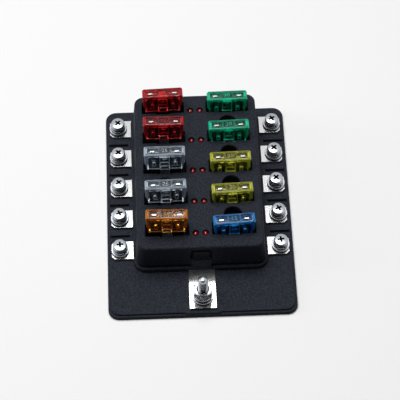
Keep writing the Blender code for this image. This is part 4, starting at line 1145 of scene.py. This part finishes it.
def outer_skins():
    """The tapered waist, the middle column, the foot rim and the bar across the column."""
    half, low, neck = WAIST_SIZE[0] / 2, -FUSE_SIZE[2], -HEAD_HEIGHT / 2
    foot_half = half - WAIST_CHAMFER[0]
    waist = upright_plate(
        [(-foot_half, low), (foot_half, low), (half, low + WAIST_CHAMFER[1]), (half, neck),
         (-half, neck), (-half, low + WAIST_CHAMFER[1])], WAIST_SIZE[1])
    round_edges(waist, hard_edges(waist, 15.0), SKIRT_ROUND, 2)
    half = COLUMN_SIZE[0] / 2
    column = upright_plate(
        [(-half, low - COLUMN_DROP), (half, low - COLUMN_DROP), (half, neck), (-half, neck)],
        COLUMN_SIZE[1])
    round_edges(column, hard_edges(column, 50.0), SKIRT_ROUND, 2)
    foot_half += FOOT_PROUD
    foot_y = WAIST_SIZE[1] / 2 + FOOT_PROUD
    foot = block(span(foot_half), span(foot_y), (low, low + FOOT_HEIGHT))
    round_edges(foot, foot.edges[:], FOOT_ROUND, 2)
    bar_y = COLUMN_SIZE[1] / 2 + FOOT_ROUND
    bar = block(span(BAR_HALF), span(bar_y), BAR_Z)
    round_edges(bar, bar.edges[:], FOOT_ROUND, 2)
    return [("UNION", skin) for skin in (waist, column, foot, bar)]


def inner_bays():
    """The windows' hollows, the slots of the blades and the test points, and the bay of
    the link with the slot that joins the blades."""
    outside = FUSE_SIZE[0]
    blade_y = span(BLADE_BAY_HALF)
    window_half = WAIST_SIZE[1] / 2 - WINDOW_WALL
    link_half = COLUMN_SIZE[1] / 2 - WINDOW_WALL
    bays = []
    for _, sign in SIDES:
        bays.append(block(on_side(sign, WINDOW_X), span(window_half), WINDOW_Z))
        bays.append(block(
            on_side(sign, BLADE_BAY_X), blade_y, (-FUSE_SIZE[2] - outside, BLADE_BAY_TOP)))
        bays.append(block(
            on_side(sign, span(TEST_POINT_HALF, TEST_POINT_X)), blade_y,
            (BLADE_BAY_TOP - HEAD_ROUND, outside)))
    bays.append(block(span(LINK_BAY_HALF), span(link_half), (WINDOW_Z[0], LINK_BAY_TOP)))
    bays.append(block(span(JOIN_HALF), blade_y, (WINDOW_Z[0], LINK_BAY_TOP - HEAD_ROUND)))
    return [("DIFFERENCE", bay) for bay in bays]


def vent_cutters():
    """The vent through the column, and the open floor below it that leaves two bars."""
    vent = block(span(VENT_HALF), span(FUSE_SIZE[0]), VENT_Z)
    floor = block(span(VENT_FLOOR_HALF), span(COLUMN_SIZE[1] / 2 - VENT_BAR),
                  (-FUSE_SIZE[2] - 2 * COLUMN_DROP, VENT_Z[0] + VENT_BAR))
    return [("DIFFERENCE", vent), ("DIFFERENCE", floor)]


def peg_blocks(half, proud):
    """A square peg across each window, proud of both walls."""
    reach = WAIST_SIZE[1] / 2 + proud
    return gathered([
        block(span(half[0], sign * PEG_X), span(reach), span(half[1], PEG_Z))
        for _, sign in SIDES])


def fuse_shell():
    shell = carved("fuse_shell", fuse_head(), [
        *outer_skins(), *inner_bays(), *vent_cutters(),
        ("UNION", peg_blocks(PEG_HALF, PEG_PROUD)),
        ("DIFFERENCE", peg_blocks(PEG_HOLE_HALF, 2 * PEG_PROUD)), ("DIFFERENCE", top_pockets())])
    for x in (-END_X, END_X):
        split_at(shell, (x, 0.0, 0.0), (1.0, 0.0, 0.0))
    shell.normal_update()
    for face in shell.faces:
        face.material_index = shell_look(face)
    return shell


def shell_look(face):
    """2 for the flat rim on top, 1 for what looks milky (rounded edges, the head's sides,
    the ends, the foot rim, the bar and the fronts of the pegs), and 0 for clear walls."""
    centre, normal = face.calc_center_median(), face.normal
    x, y, z = abs(centre.x), abs(centre.y), centre.z
    if normal.z > FACES_UP and z > -POCKET_DEPTH / 2:
        return 2
    outside = y > WAIST_SIZE[1] / 2 - SKIRT_ROUND or x > WAIST_SIZE[0] / 2 - WAIST_CHAMFER[0]
    straight = max(abs(c) for c in normal) >= FACES_STRAIGHT
    rounded = not straight and (outside or z > -2 * POCKET_DEPTH)
    foot = z < FOOT_HEIGHT - FUSE_SIZE[2] + FOOT_ROUND and y > WAIST_SIZE[1] / 2
    bar = BAR_Z[0] < z < BAR_Z[1] and y > COLUMN_SIZE[1] / 2
    band = y > FUSE_SIZE[1] / 2 - HEAD_ROUND and z > -HEAD_HEIGHT
    end = x > END_X and z > WAIST_CHAMFER[1] - FUSE_SIZE[2]
    peg = (abs(x - PEG_X) < PEG_HALF[0] + SAME_POINT and abs(z - PEG_Z) < PEG_HALF[1] + SAME_POINT
           and y > WAIST_SIZE[1] / 2 + PEG_PROUD / 4)
    return int(rounded or foot or bar or band or end or peg)


def rating_digits(text):
    """Raised figures, centred on the label pocket, standing on its floor."""
    curve = bpy.data.curves.new("rating", "FONT")
    curve.body = text
    curve.size = RATING_FONT_SIZE
    curve.align_x, curve.align_y = "CENTER", "CENTER"
    curve.extrude = RATING_RAISE / 2
    curve.resolution_u = 3
    holder = new_object("rating", curve)
    mesh = evaluated_mesh(holder)
    bpy.data.objects.remove(holder, do_unlink=True)
    builder = opened(mesh)
    bpy.data.meshes.remove(mesh)
    bmesh.ops.remove_doubles(builder, verts=builder.verts, dist=SAME_POINT / 2)
    return moved(builder, Matrix.Translation((0.0, 0.0, RATING_RAISE / 2 - LABEL_DEPTH)))


def make_fuses():
    shell = to_mesh("fuse_shell", fuse_shell())
    blade_metal = [plated_metal("fuse_zinc", BLADE_METAL, 0.14, streak=0.08),
                   plated_metal("fuse_zinc_in_shade", BLADE_SHADE, 0.30)]
    dyes = {
        rating: (clear_plastic(name, colour, 0.97, 0.05, ior=1.42),
                 clear_plastic(f"{name}_edge", edge_colour, 0.35, 0.20, milk=0.9),
                 clear_plastic(f"{name}_top", edge_colour, 0.84, 0.12, ior=1.45, milk=0.9))
        for rating, (name, colour, edge_colour) in DYES.items()}
    for side, sign in SIDES:
        for row in range(1, ROWS + 1):
            key = f"fuse_{side}_{row}"
            rating = RATINGS[side][row - 1]
            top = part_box(f"{key}_body")[1][2]
            yaw = Matrix.Rotation(math.radians(FUSE_YAW_DEG[side][row - 1]), 4, "Z")
            place = Matrix.Translation((sign * FUSE_X, row_y(row), top)) @ yaw
            finished(f"{key}_shell", moved(opened(shell), place), dyes[rating], key,
                     [f"{key}_body"])
            finished(f"{key}_rating", moved(rating_digits(rating), place), dyes[rating][1:2], key)
            below_head = ((0.0, 0.0, top + BLADE_BAY_TOP), (0.0, 0.0, -1.0))
            blades = paint_shade_beyond(softened(f"{key}_element", BLADE_ROUND), below_head)
            finished(f"{key}_blades", blades, blade_metal, key, [f"{key}_element"])


make_fuses()
